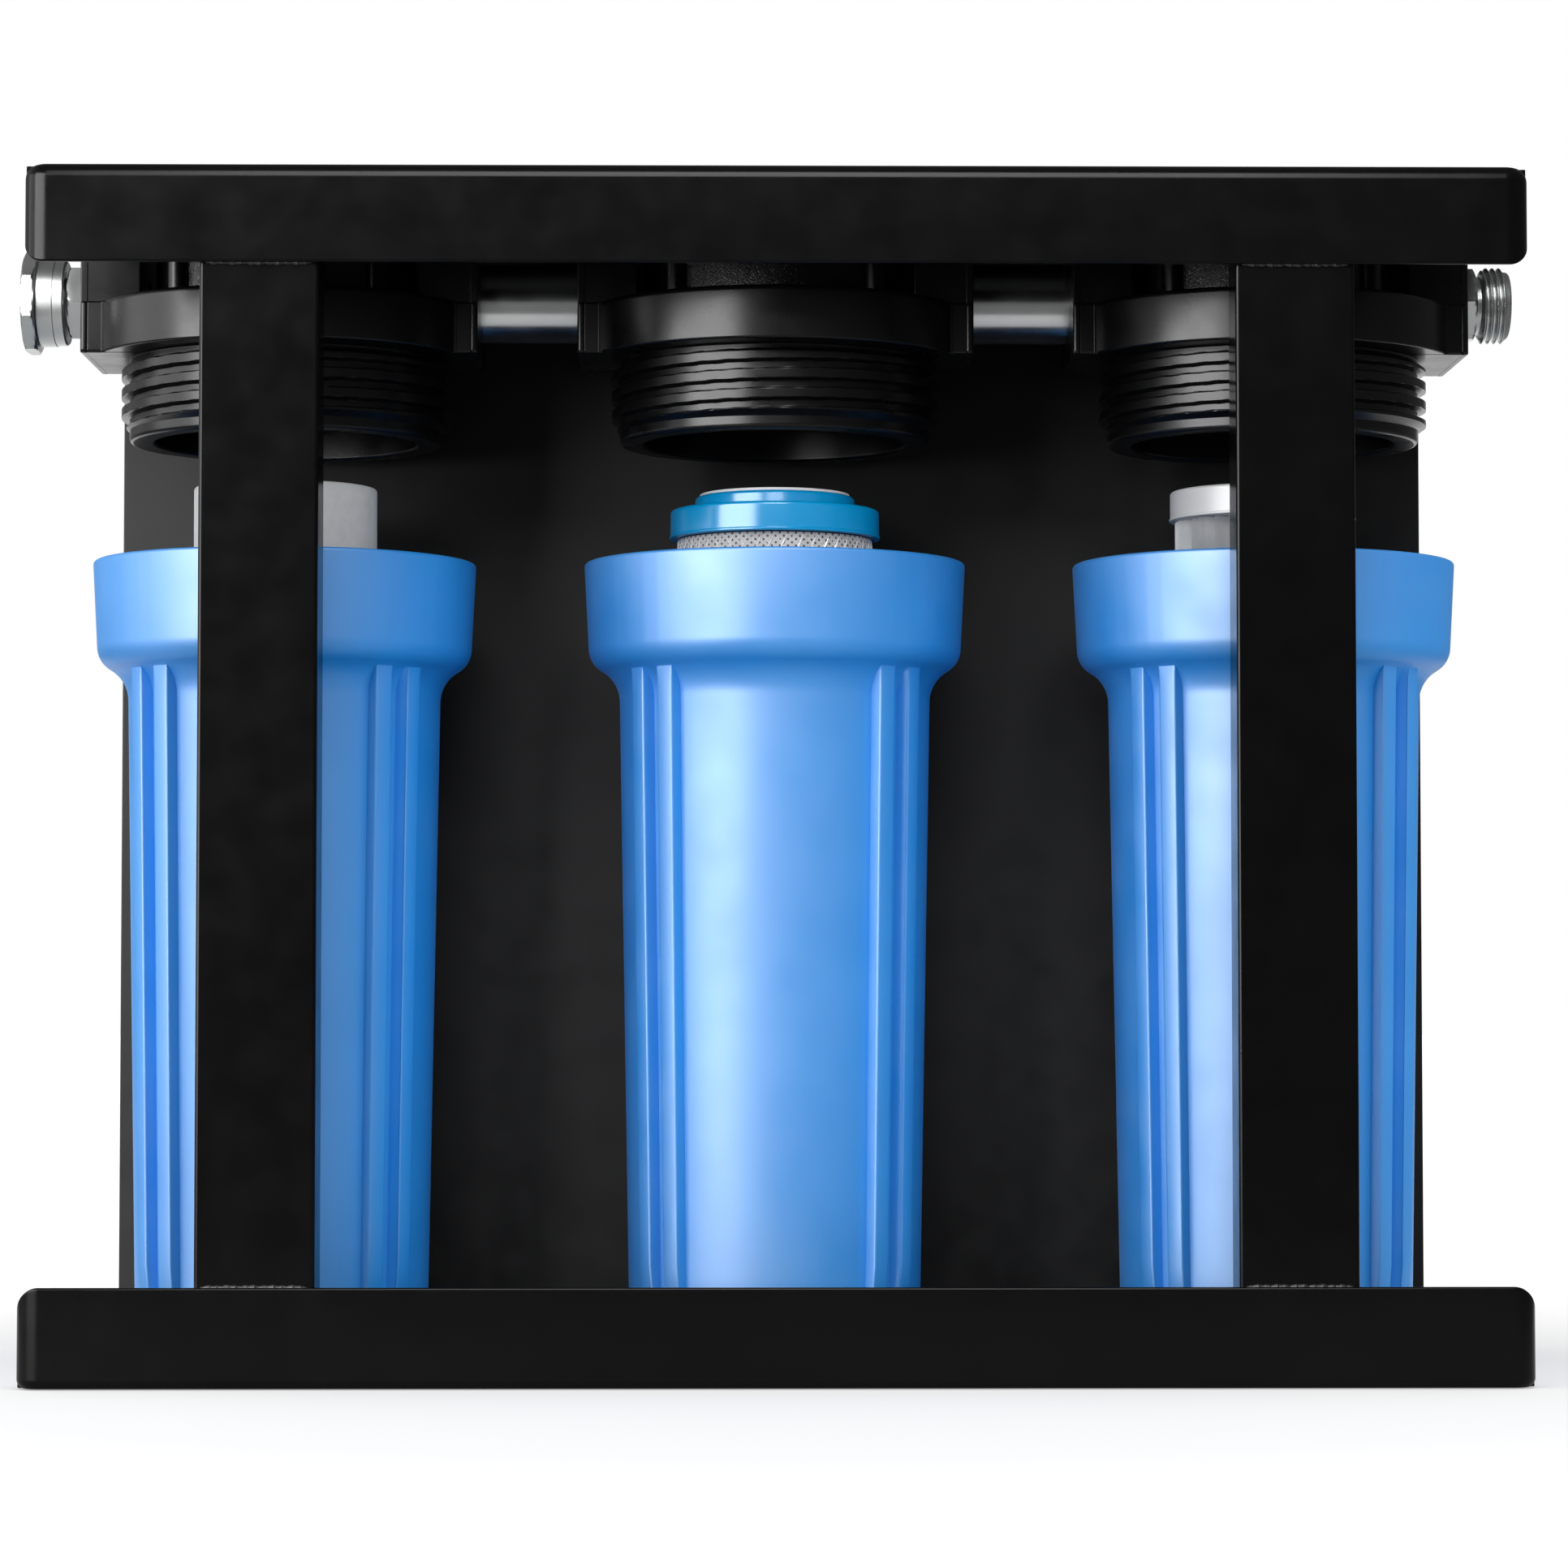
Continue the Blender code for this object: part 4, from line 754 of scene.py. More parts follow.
# Pleated film, bonded non-woven wrap and extruded netting
PLEAT_WHITE = Finish(
    "pleat_film", "#dfe0e1", "#cfd1d3", 0.62, grain=0.9, grain_depth=0.02, patch=9.0, sheen=0.1
)
WRAP_WHITE = DottedWrap("bonded_wrap", "#d3d1ce", "#c6c4c1", 0.85, grain=0.5, grain_depth=0.03, patch=6.0)
STRAND_WHITE = Finish("netting_strand", "#fbfcfe", "#f3f5f8", 0.22, grain=0.4, grain_depth=0.004)
# Pressed carbon, black rubber, and weld beads under the powder coat
CARBON = Finish("pressed_carbon", "#1c1c1d", "#141415", 0.92, grain=0.7, grain_depth=0.10, patch=5.0)
RUBBER = Finish("black_rubber", "#151515", "#101010", 0.62, grain=0.4, grain_depth=0.006)
WELD_BLACK = Finish("coated_weld", "#151516", "#101011", 0.5, grain=1.6, grain_depth=0.12, patch=5.0)


# Frame


@dataclass
class SheetFrame:
    """Canopy, tray, back panel and front posts, bent from two-millimetre sheet."""

    canopy_bend: float = 0.0048
    tray_bend: float = 0.0030
    plan_corner: float = 0.0075
    wrap: float = 0.009
    canopy_corner: float = 0.0065
    tray_corner: float = 0.0075
    cut_edge: float = 0.0008
    plate_edge: float = 0.0003
    plate_margin: float = 0.001
    panel_edge: float = 0.0004
    post_edge: float = 0.0012
    post_inner: float = 0.0003
    post_cut: float = 0.0004
    bead_radius: float = 0.00085
    bead_sunk: float = 0.0002
    bead_short: float = 0.0018
    bead_waves: Rows = ((2100, 0, 0.16), (5200, 1.3, 0.12), (900, 2, 0.12))

    def plan(self, low: Vector, high: Vector) -> tuple[Array, Array]:
        """Plan outline of a plate, anticlockwise from its back left corner.

        Args:
            low: Lowest corner of the plate.
            high: Highest corner of the plate.

        Returns:
            The points of the outline, and for each whether the flange hangs there.
        """
        left, right, front, back = low.x, high.x, low.y, high.y
        end = front + self.wrap
        corner, slit = self.plan_corner, 0.00002
        bow = np.linspace(0, QUARTER, 13)
        turn_x, turn_y = corner * (1 - np.cos(bow)), corner * (1 - np.sin(bow))
        lead = np.linspace(corner, corner + 0.004, 8)[1:]
        left_half = np.concatenate(
            [
                [(left, back), (left, end + slit), (left, end)],
                np.stack([left + turn_x, front + turn_y], axis=1),
                np.stack([left + lead, 0 * lead + front], axis=1),
            ]
        )
        right_half = left_half[::-1] * [-1, 1] + [left + right, 0]
        outline = np.concatenate([left_half, right_half])
        return outline, outline[:, 1] <= end + slit / 2

    def plate(self, low: Vector, high: Vector, corner: float, bend: float) -> Shell:
        """A plate with its flange turned down at the front and round both ends, its top at height zero.

        The section runs inward and down: flat, quarter bend, wall, rounded cut, wall, quarter bend, flat.
        Each row has inset and drop where the flange hangs, and the same two where the edge is plain.

        Args:
            low: Lowest corner of the plate.
            high: Highest corner of the plate.
            corner: Radius of the flange's free corners, seen from the front.
            bend: Outer radius of the bend.

        Returns:
            The closed shell.
        """
        outline, flanged = self.plan(low, high)
        half = (high.x - low.x) / 2
        beyond = np.clip(np.abs(outline[:, 0] - (low.x + high.x) / 2) - (half - corner), 0, corner)
        depth = (high.z - low.z) - (corner - np.sqrt(np.maximum(corner**2 - beyond**2, 0)))
        a = np.linspace(0, QUARTER, 8)
        sin, cos = np.sin(a), np.cos(a)
        cut, inner, tip = self.cut_edge, bend - SHEET, self.plate_edge
        margin, plain = [bend + self.plate_margin / 2], [self.plate_margin]
        rows = [
            (margin, [0.0], plain, [0.0]),
            (bend - bend * sin, bend - bend * cos, tip - tip * sin, tip - tip * cos),
            (cut - cut * cos, cut * sin - cut, tip - tip * cos, SHEET - tip + tip * sin),
            (SHEET - cut + cut * sin, cut * cos - cut, 0 * a + tip, 0 * a + SHEET),
            (SHEET + inner - inner * cos, bend - inner * sin, 0 * a + tip, 0 * a + SHEET),
            (margin, [SHEET], plain, [SHEET]),
        ]
        inset, drop, plain_inset, plain_drop = (np.concatenate(column) for column in zip(*rows))
        hangs = np.zeros(len(inset), bool)
        hangs[1 + len(a) : 1 + 3 * len(a)] = True
        drops = np.where(hangs, depth[:, None] + drop, drop + 0 * depth[:, None])
        insets = np.where(flanged[:, None], inset, plain_inset)
        drops = np.where(flanged[:, None], drops, plain_drop)
        flat = outline[:, None] - outline_normals(outline)[:, None] * insets[:, :, None]
        return capped(np.concatenate([flat, -drops[:, :, None]], axis=2), downward=True)

    def canopy(self) -> Shell:
        """Return the canopy in its place."""
        low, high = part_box("top_canopy")
        return self.plate(low, high, self.canopy_corner, self.canopy_bend).moved([0, 0, high.z])

    def tray(self) -> Shell:
        """Return the tray: the same plate upside down, z mirrored and the faces turned with it."""
        low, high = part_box("bottom_tray")
        shell = self.plate(low, high, self.tray_corner, self.tray_bend)
        return Shell(shell.points * [1, 1, -1], shell.quads[:, ::-1], [cap[::-1] for cap in shell.caps])

    def panel(self) -> Shell:
        """Return the back panel, a prism over its outline in XZ with its cut edges eased."""
        low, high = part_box("back_panel")
        outline = np.array(rectangle(low.x, high.x, low.z, high.z))
        shell = rounded_prism(outline, -high.y, -low.y, self.panel_edge)
        x, z, depth = shell.points.T
        return shell.reshaped(np.stack([x, -depth, z], axis=1))

    def post(self, side: str) -> Shell:
        """A front post: a channel bent from sheet, open to the back.

        Args:
            side: left or right.

        Returns:
            The closed shell.
        """
        low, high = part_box(f"front_post_{side}")
        corners = [
            (low.x, high.y), (low.x, low.y), (high.x, low.y), (high.x, high.y), (high.x - SHEET, high.y),
            (high.x - SHEET, low.y + SHEET), (low.x + SHEET, low.y + SHEET), (low.x + SHEET, high.y),
        ]
        outer, inner, cut = self.post_edge, self.post_inner, self.post_cut
        radii = [cut, outer, outer, cut, cut, inner, inner, cut]
        return rounded_prism(filleted(corners, radii, 8), low.z, high.z, self.plate_edge)

    def bead(self, side: str, top: bool) -> Shell:
        """A rough weld bead where a post passes the free edge of a flange.

        Its radius swells and shrinks along X by a sum of sines, as a hand-laid bead does.

        Args:
            side: left or right.
            top: Whether the flange is the canopy's.

        Returns:
            The closed shell.
        """
        low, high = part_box(f"front_post_{side}")
        plate_low, plate_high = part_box("top_canopy" if top else "bottom_tray")
        height = plate_low.z + self.bead_sunk if top else plate_high.z - self.bead_sunk
        x = np.linspace(low.x + self.bead_short, high.x - self.bead_short, 70)
        wave = sum(np.sin(x * rate + phase) * size for rate, phase, size in self.bead_waves)
        width = self.bead_radius * (1 + wave) * np.sqrt(np.clip(1 - np.linspace(-1, 1, 70) ** 8, 0, 1))
        turn = turns(10)
        y = low.y - self.bead_sunk + width * np.cos(turn)
        z = height + width * 1.1 * np.sin(turn)
        return grid(np.stack([x + 0 * turn, y, z], axis=2))

    def build(self) -> None:
        """Build the frame."""
        for node, shell, finish in (
            ("top_canopy", self.canopy(), POWDER_BLACK),
            ("bottom_tray", self.tray(), POWDER_BLACK),
            ("back_panel", self.panel(), PANEL_BLACK),
        ):
            dressed(f"{node}_coated", shell, finish, "frame", node, flat_faces=True)
        for side in ("left", "right"):
            node = f"front_post_{side}"
            post, beads = self.post(side), self.bead(side, True).joined(self.bead(side, False))
            dressed(f"{node}_coated", post, POWDER_BLACK, "frame", node, flat_faces=True)
            dressed(f"weld_beads_{side}", beads, WELD_BLACK, "frame", None)


# Threads


@dataclass(frozen=True)
class ThreadForm:
    """A right-hand single-start thread, as a rise over its wall. Root and flank are parts of a pitch."""

    height: float
    pitch: float
    low: float
    high: float
    start: float
    runout: float
    root: float = 0.30
    flank: float = 0.13

    def rise(self, turn: Array, z: Array) -> Array:
        """Rise over the wall: a smooth step up and down again once in each pitch, along z - pitch t / 2 pi.

        Args:
            turn: Angles round the axis.
            z: Heights.

        Returns:
            The rise at each place, faded out over the run-outs.
        """
        share = np.mod((z - self.start) / self.pitch - turn / FULL_TURN, 1.0)
        up = np.clip((share - self.root) / self.flank, 0, 1)
        down = np.clip((1.0 - share) / self.flank, 0, 1)
        form = np.minimum(up, down)
        form = form * form * (3 - 2 * form)
        fade = np.clip(np.minimum(z - self.low, self.high - z) / self.runout, 0, 1)
        return self.height * form * fade

    def over(self, line: Array, wall: float, turn: Array) -> Array:
        """Rise over the upright wall of a turned profile, and zero on the rest of it.

        Args:
            line: Points (radius, height) of the profile.
            wall: Radius of the wall.
            turn: Angles round the axis, one row for each.

        Returns:
            The rise over (turn, profile).
        """
        on_wall = np.abs(line[:, 0] - wall) < SAME
        return np.where(on_wall, self.rise(turn, line[:, 1] + 0 * turn), 0.0)


# Filter heads


@dataclass
class FilterHead:
    """Black moulded head: collar, dome, two square ports, screw bosses and threaded spigot."""

    collar: float = 0.065
    collar_height: float = 0.0178
    dome: float = 0.0444
    dome_height: float = 0.0250
    spigot: float = 0.0530
    spigot_length: float = 0.0282
    mouth: float = 0.0445
    port_face: float = 0.06675
    port_half: float = 0.027
    port_top: float = 0.0410
    port_inner: float = 0.0467
    flange: float = 0.0026
    flange_step: float = 0.0007
    axis_height: float = 0.0205
    port_bore: float = 0.01365
    port_depth: float = 0.0190
    chamber: float = 0.038
    chamber_top: float = 0.0284
    knob: float = 0.018
    knob_foot: float = 0.0256
    nose: float = 0.0126
    nose_foot: float = 0.0226
    knob_bore: float = 0.009
    knob_bore_ends: tuple[float, float] = (0.012, 0.034)
    passage: float = 0.0075
    passage_ends: tuple[float, float] = (0.035, 0.05)
    slot_low: tuple[float, float, float] = (-0.009, -0.008, 0.031)
    slot_high: tuple[float, float, float] = (0.05375, 0.008, 0.0386)
    wall_rows: int = 144
    segments: int = 224
    boss: float = 0.00375
    boss_foot: float = 0.015
    thread: ThreadForm = ThreadForm(
        height=0.0028, pitch=PITCH, low=-0.0242, high=-0.0010, start=0.0, runout=0.0020
    )
    boss_places: Rows = tuple((x, y) for x in (-0.0333, 0.0333) for y in (-0.031, 0.031))

    def datum(self) -> float:
        """Return the height of the collar's underside."""
        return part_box("filter_head_left")[0].z + self.spigot_length

    def shell(self) -> Shell:
        """The turned part: dome, collar, threaded spigot and the hollow inside, as one profile.

        Returns:
            The closed shell, its origin at the collar's underside.
        """
        length = self.spigot_length
        corners = [
            (0.0, self.collar_height + self.dome_height, 0.0),
            (self.dome, self.collar_height + self.dome_height, 0.008),
            (self.dome, self.collar_height, 0.0012), (self.collar, self.collar_height, 0.0020),
            (self.collar, 0.0, 0.0008), (self.spigot, 0.0, 0.0006), (self.spigot, -length, 0.0014),
            (self.mouth, -length, 0.0010), (self.mouth, 0.0120, 0.002), (self.chamber, 0.0170, 0.002),
            (self.chamber, self.chamber_top, 0.001), (self.knob, self.chamber_top, 0.0004),
            (self.knob, self.knob_foot, 0.0004), (self.nose, self.knob_foot, 0.0004),
            (self.nose, self.nose_foot, 0.0004), (0.0, self.nose_foot, 0.0),
        ]
        line = wall_divided(divided(rounded(corners, 5, closed=False), 0.0045), self.spigot, self.wall_rows)
        turn = turns(self.segments)
        return grid(carried_round(line[:, 0] + self.thread.over(line, self.spigot, turn), turn, line[:, 1]))

    def port(self, side: int) -> list[Shell]:
        """A square port with a flange at its face, its lower half in proud steps with rounded edges.

        No two blocks share a plane. Each row has half width, top, underside, start, end and edge radius.

        Args:
            side: 1 for the outlet side, -1 for the inlet side.

        Returns:
            The blocks that make it up.
        """
        parts = []
        inner, face, step = self.port_inner, self.port_face, self.flange
        half, low_top = self.port_half, self.collar_height - 0.0002
        for wide, top, low, start, end, edge in (
            (half, self.port_top, 0.00003, inner, face - step / 2, 0.0004),
            (half + 0.0002, self.port_top + self.flange_step, 0.00006, face - step, face, 0.0004),
            (half + self.flange_step, low_top, 0.00018, face - step - 0.0001, face - 0.00005, 0.0010),
            (half + 0.0004, low_top - 0.0001, 0.00010, inner + 0.0002, face - step + 0.0006, 0.0007),
            (half + 0.0006, low_top - 0.0002, 0.00014, inner + 0.0004, face - 0.0070, 0.0002),
        ):
            section = [(-top, -wide), (low, -wide), (low, wide), (-top, wide)]
            outline = filleted(section, edge + 0.0004, 4)
            parts.append(rounded_prism(outline, start, end, edge).laid(side, [0, 0, 0]))
            if side < 0:
                parts[-1].points[:, 2] *= -1
        return parts

    def mesh(self) -> Mesh:
        """The head's mesh, with its ports and passages cut.

        Returns:
            The mesh, its origin at the collar's underside.
        """
        boss_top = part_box("top_canopy")[1].z - SHEET - SEAM - self.datum()
        steps = [("UNION", part) for side in (-1, 1) for part in self.port(side)]
        for x, y in self.boss_places:
            steps.append(("UNION", rod(self.boss, self.boss_foot, boss_top, 40, 0.0003).moved([x, y, 0])))
        drill = rod(self.port_bore, self.port_face - self.port_depth, self.port_face + 0.003, 64)
        place = np.array([0, 0, self.axis_height])
        passages = [
            rod(self.knob_bore, *self.knob_bore_ends, 48),
            rounded_box(self.slot_low, self.slot_high, 0.0003),
            drill.laid(-1, place),
            drill.laid(1, place),
            rod(self.passage, *self.passage_ends, 48).laid(-1, place),
        ]
        steps += [("DIFFERENCE", passage) for passage in passages]
        return carved("filter_head", self.shell(), steps)

    def dress(self, mesh: Mesh) -> None:
        """Give the dome its leather grain and the rest the plain finish.

        Args:
            mesh: The head's mesh, before it is moved.
        """
        mesh.materials.clear()
        mesh.materials.append(HEAD_BLACK.material())
        mesh.materials.append(HEAD_GRAIN.material())
        x, y, z = read(mesh.polygons, "center", float, 3).T
        on_dome = (np.hypot(x, y) < self.dome + 0.0002) & (z > self.collar_height + 0.0005)
        for bx, by in self.boss_places:
            on_dome &= np.hypot(x - bx, y - by) > self.boss + 0.0002
        on_dome &= ~((np.abs(x) > self.port_inner - 0.0002) & (np.abs(y) < self.port_half + 0.001))
        mesh.polygons.foreach_set("material_index", on_dome.astype(np.int32))

    def build(self) -> None:
        """Build the three heads."""
        mesh = self.mesh()
        self.dress(mesh)
        for station in Station:
            own = mesh.copy()
            place = (station.axis() + [0, 0, self.datum()]).astype(np.float32)
            own.vertices.foreach_set("co", (read(own.vertices, "co", np.float32, 3) + place).ravel())
            name = f"filter_head_{station.value}"
            dressed(f"{name}_moulded", own, HEAD_BLACK, "frame", name, flat_faces=True)


# Sumps


@dataclass
class Sump:
    """Blue moulded sump: tapered body with grip ribs, coved collar, threaded socket, floor with a seat."""

    height: float = 0.2701
    collar: float = 0.065
    collar_foot: float = 0.0635
    collar_height: float = 0.0290
    corner: float = 0.0088
    slope: float = math.radians(60)
    body_top: float = 0.05285
    body_foot: float = 0.0491
    foot: float = 0.010
    rim: float = 0.0012
    socket: float = 0.0571
    socket_depth: float = 0.0289
    rib_width: float = 0.0066
    rib_height: float = 0.0046
    rib_foot: float = 0.018
    rib_round: float = 0.0007
    rib_angles: tuple[float, ...] = (40.4, 53.8)
    hollow_top: float = 0.014
    hollow_foot: float = 0.021
    hollow_height: float = 0.0414
    groove: tuple[float, float] = (0.04795, 0.05205)
    groove_depth: float = 0.0034
    wall_top: float = 0.047
    wall_foot: float = 0.0445
    floor: float = 0.005
    seat: float = 0.018
    seat_height: float = 0.0454
    nose: float = 0.0126
    nose_height: float = 0.0484
    wall_rows: int = 90
    segments: int = 200
    seal: float = 0.050
    seal_thick: float = 0.00175
    seal_proud: float = 0.0004
    phase: float = 0.00244

    def shoulder(self) -> tuple[float, float]:
        """Return the radius of the cove under the collar, overhang / (1 - cos a) - corner, and its foot."""
        cove = (self.collar_foot - self.body_top) / (1 - math.cos(self.slope)) - self.corner
        drop = (self.corner + cove) * math.sin(self.slope)
        return cove, self.height - self.collar_height - drop

    def profile(self) -> Array:
        """Outline from the middle of the underside, over the rim, down to the seat inside.

        The underside of the collar is two arcs that touch: a cove on the body and a corner on the collar.

        Returns:
            Points (radius, height).
        """
        a = self.slope
        cove, z_cove = self.shoulder()
        z_corner = self.height - self.collar_height
        t = np.linspace(0, a, 14)
        cove_arc = np.stack([self.body_top + cove - cove * np.cos(t), z_cove + cove * np.sin(t)], axis=1)
        t = np.linspace(-a, 0, 14)[1:]
        bend = self.collar_foot - self.corner + self.corner * np.cos(t)
        corner_arc = np.stack([bend, z_corner + self.corner * np.sin(t)], axis=1)
        below = [
            (0, self.hollow_height, 0), (self.hollow_top, self.hollow_height, 0.001),
            (self.hollow_foot, 0, 0.001), (self.body_foot, 0, self.foot), (*cove_arc[0], 0),
        ]
        under = rounded(below, 7, closed=False)
        ledge = self.height - self.socket_depth
        groove_in, groove_out = self.groove
        inside = [
            (self.collar_foot, z_corner, 0), (self.collar, self.height, self.rim),
            (self.socket, self.height, 0.0006), (self.socket, ledge, 0.0003), (groove_out, ledge, 0.0003),
            (groove_out, ledge - self.groove_depth, 0.0003), (groove_in, ledge - self.groove_depth, 0.0003),
            (groove_in, ledge, 0.0003), (self.wall_top, ledge, 0.0005), (self.wall_foot, self.floor, 0.006),
            (0.025, self.floor, 0.002), (self.seat, self.seat_height, 0.0005),
            (self.nose, self.seat_height, 0.0004), (self.nose, self.nose_height, 0.0004),
            (0, self.nose_height, 0),
        ]
        outer = np.concatenate([under, cove_arc[1:], corner_arc])
        parts = [divided(part, 0.012) for part in (outer, rounded(inside, 5, closed=False)[1:])]
        return wall_divided(np.concatenate(parts), self.socket, self.wall_rows)

    def columns(self) -> tuple[Array, Array, Array]:
        """Columns round the sump: an even turn, with extra ones at the edges of each rib.

        Returns:
            For each column the direction of its rib (or its own), its sideways offset, and how much
            of the rib's height it takes.
        """
        w, r = self.rib_width / 2, self.rib_round
        a = np.linspace(0, QUARTER, 4)
        side = np.concatenate([[w + 0.0006, w], w - r + r * np.cos(a)])
        share = np.concatenate([[0.0, 0.0], 1 - (r - r * np.sin(a)) / self.rib_height])
        offset = np.concatenate([-side, side[::-1]])
        shares = np.concatenate([share, share[::-1]])
        middles = [
            middle + sign * math.radians(angle)
            for middle in (QUARTER, 3 * QUARTER)
            for sign in (-1, 1)
            for angle in self.rib_angles
        ]
        even = turns(self.segments)[:, 0]
        clear = (w + 0.0012) / self.body_top
        gaps = np.abs(np.angle(np.exp(1j * (even[:, None] - np.array(middles)))))
        even = even[(gaps > clear).all(axis=1)]
        direction = np.concatenate([even, np.repeat(middles, len(offset))])
        sideways = np.concatenate([0 * even, np.tile(offset, len(middles))])
        takes = np.concatenate([0 * even, np.tile(shares, len(middles))])
        order = np.argsort(np.mod(direction + sideways / self.body_top, FULL_TURN))
        return direction[order], sideways[order], takes[order]

    def shell(self) -> Shell:
        """The sump as one surface: radius over (turn, profile), ribs and inner thread added.

        A rib stands out to the taper's radius plus its height, or to the cove where that is wider.

        Returns:
            The closed shell, its foot at height zero.
        """
        line = self.profile()
        rim = int(np.argmax(line[:, 1]))
        outside = np.arange(len(line)) <= rim
        z_top = self.height - self.collar_height
        draft = (self.body_top - self.body_foot) / (self.shoulder()[1] - self.foot)
        taper = self.body_foot + draft * (line[:, 1] - self.foot)
        ramp = np.clip((line[:, 1] - self.rib_foot) / self.rib_height, 0, 1)
        proud = np.clip(taper + self.rib_height * ramp - line[:, 0], 0, self.rib_height)
        ribbed = outside & (line[:, 1] > self.rib_foot) & (line[:, 0] > self.body_foot - 0.001)
        proud = np.where(ribbed & (line[:, 1] < z_top), proud, 0.0)
        direction, sideways, takes = (part[:, None] for part in self.columns())
        narrow = np.clip(line[:, 0] / self.body_top, 0, 1)
        side = sideways * narrow
        out = np.sqrt(np.maximum(line[:, 0] ** 2 - side**2, 0)) + proud * takes
        turn = direction + np.arctan2(side, np.maximum(out, 1e-9))
        ledge = self.height - self.socket_depth
        start = FilterHead().datum() + self.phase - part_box("sump_left")[0].z
        low, high = ledge + 0.001, self.height - 0.001
        thread = ThreadForm(0.0031, PITCH, low, high, start, runout=0.0020, root=0.55)
        radius = np.hypot(out, side) - thread.over(line, self.socket, turn)
        return grid(carried_round(radius, turn, line[:, 1]))

    def ring(self) -> Shell:
        """Return the O-ring in its groove: a circle of points carried round the axis."""
        turn = turns(24)[:, 0]
        height = self.height - self.socket_depth + self.seal_proud - self.seal_thick
        section = [self.seal + self.seal_thick * np.cos(turn), height + self.seal_thick * np.sin(turn)]
        return lathe(np.stack(section, axis=1), 128)

    def build(self) -> None:
        """Build the three sumps and their O-rings."""
        shell = self.shell()
        ring = self.ring()
        for station in Station:
            side = station.value
            place = station.axis() + [0, 0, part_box(f"sump_{side}")[0].z]
            body = f"{side}_sump"
            dressed(f"sump_{side}_moulded", shell.moved(place), SUMP_BLUE, body, f"sump_{side}")
            node = f"sump_o_ring_{side}"
            dressed(f"{node}_rubber", ring.moved(place), RUBBER, body, node)


# Cartridges


@dataclass
class Cartridge:
    """What the three cartridges share: length, bore and the body that they ride on."""

    station: Station
    bore: float = 0.014
    length: float = 0.250

    def body(self) -> str:
        """Return the name of its body, which all its nodes begin with."""
        return f"{self.station.value}_cartridge"

    def place(self) -> Array:
        """Return the foot of this cartridge on its axis."""
        low = min(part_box(node)[0].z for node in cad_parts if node.startswith(self.body()))
        return self.station.axis() + [0, 0, low]

    def add(self, part: str, shell: Shell, finish: Finish, slot: Slot) -> None:
        """Add one piece of this cartridge.

        Args:
            part: The end of the node's name.
            shell: Its surface, from the cartridge's foot.
            finish: What it is finished in.
            slot: The material slot of the record. Not used.
        """
        node = f"{self.body()}_{part}"
        dressed(f"{node}_formed", shell.moved(self.place()), finish, self.body(), node)

    def add_ends(
        self, cap: Shell, finish: Finish, slot: Slot, gasket: Shell, soft: Finish, soft_slot: Slot
    ) -> None:
        """Add caps and gaskets, turned over at the bottom: z becomes length - z and y becomes -y.

        Args:
            cap: The top cap.
            finish: Finish of the caps.
            slot: Slot of the caps.
            gasket: The top gasket.
            soft: Finish of the gaskets.
            soft_slot: Slot of the gaskets.
        """
        for end, flip, rise in (("top", [1, 1, 1], 0.0), ("bottom", [1, -1, -1], self.length)):
            for part, shell, look, own in (("cap", cap, finish, slot), ("gasket", gasket, soft, soft_slot)):
                self.add(f"{end}_{part}", shell.reshaped(shell.points * flip + [0, 0, rise]), look, own)

    def tube(self, outer: float, inner: float, low: float, high: float, edge: float) -> Shell:
        """A tube with rounded outer rims.

        Args:
            outer: Outer radius.
            inner: Inner radius.
            low: Height of its foot.
            high: Height of its top.
            edge: Radius of the outer rims.

        Returns:
            The closed shell.
        """
        line = filleted(rectangle(inner, outer, low, high), [edge / 3, edge, edge, edge / 3], 5)
        return lathe(divided(line, 0.02), 144)


@dataclass
class SpunCartridge(Cartridge):
    """One melt-blown sleeve."""

    radius: float = 0.0312
    uneven: float = 0.00004
    waves: Rows = ((5, 40, 0, 1.0), (9, -95, 1, 0.6), (17, 210, 2, 0.4))

    def build(self) -> None:
        """Build the sleeve, its wall slightly uneven: a sum of sines over turn and height."""
        shell = self.tube(self.radius - 0.0001, self.bore, 0.0, self.length, 0.0010)
        x, y, z = shell.points.T
        turn = np.arctan2(y, x)
        wave = sum(np.sin(a * turn + b * z + phase) * size for a, b, phase, size in self.waves)
        grow = 1 + self.uneven * wave / self.radius
        uneven = shell.points * np.stack([grow, grow, 0 * grow + 1], axis=1)
        self.add("media", shell.reshaped(uneven), SPUN_WHITE, Slot.SPUN)


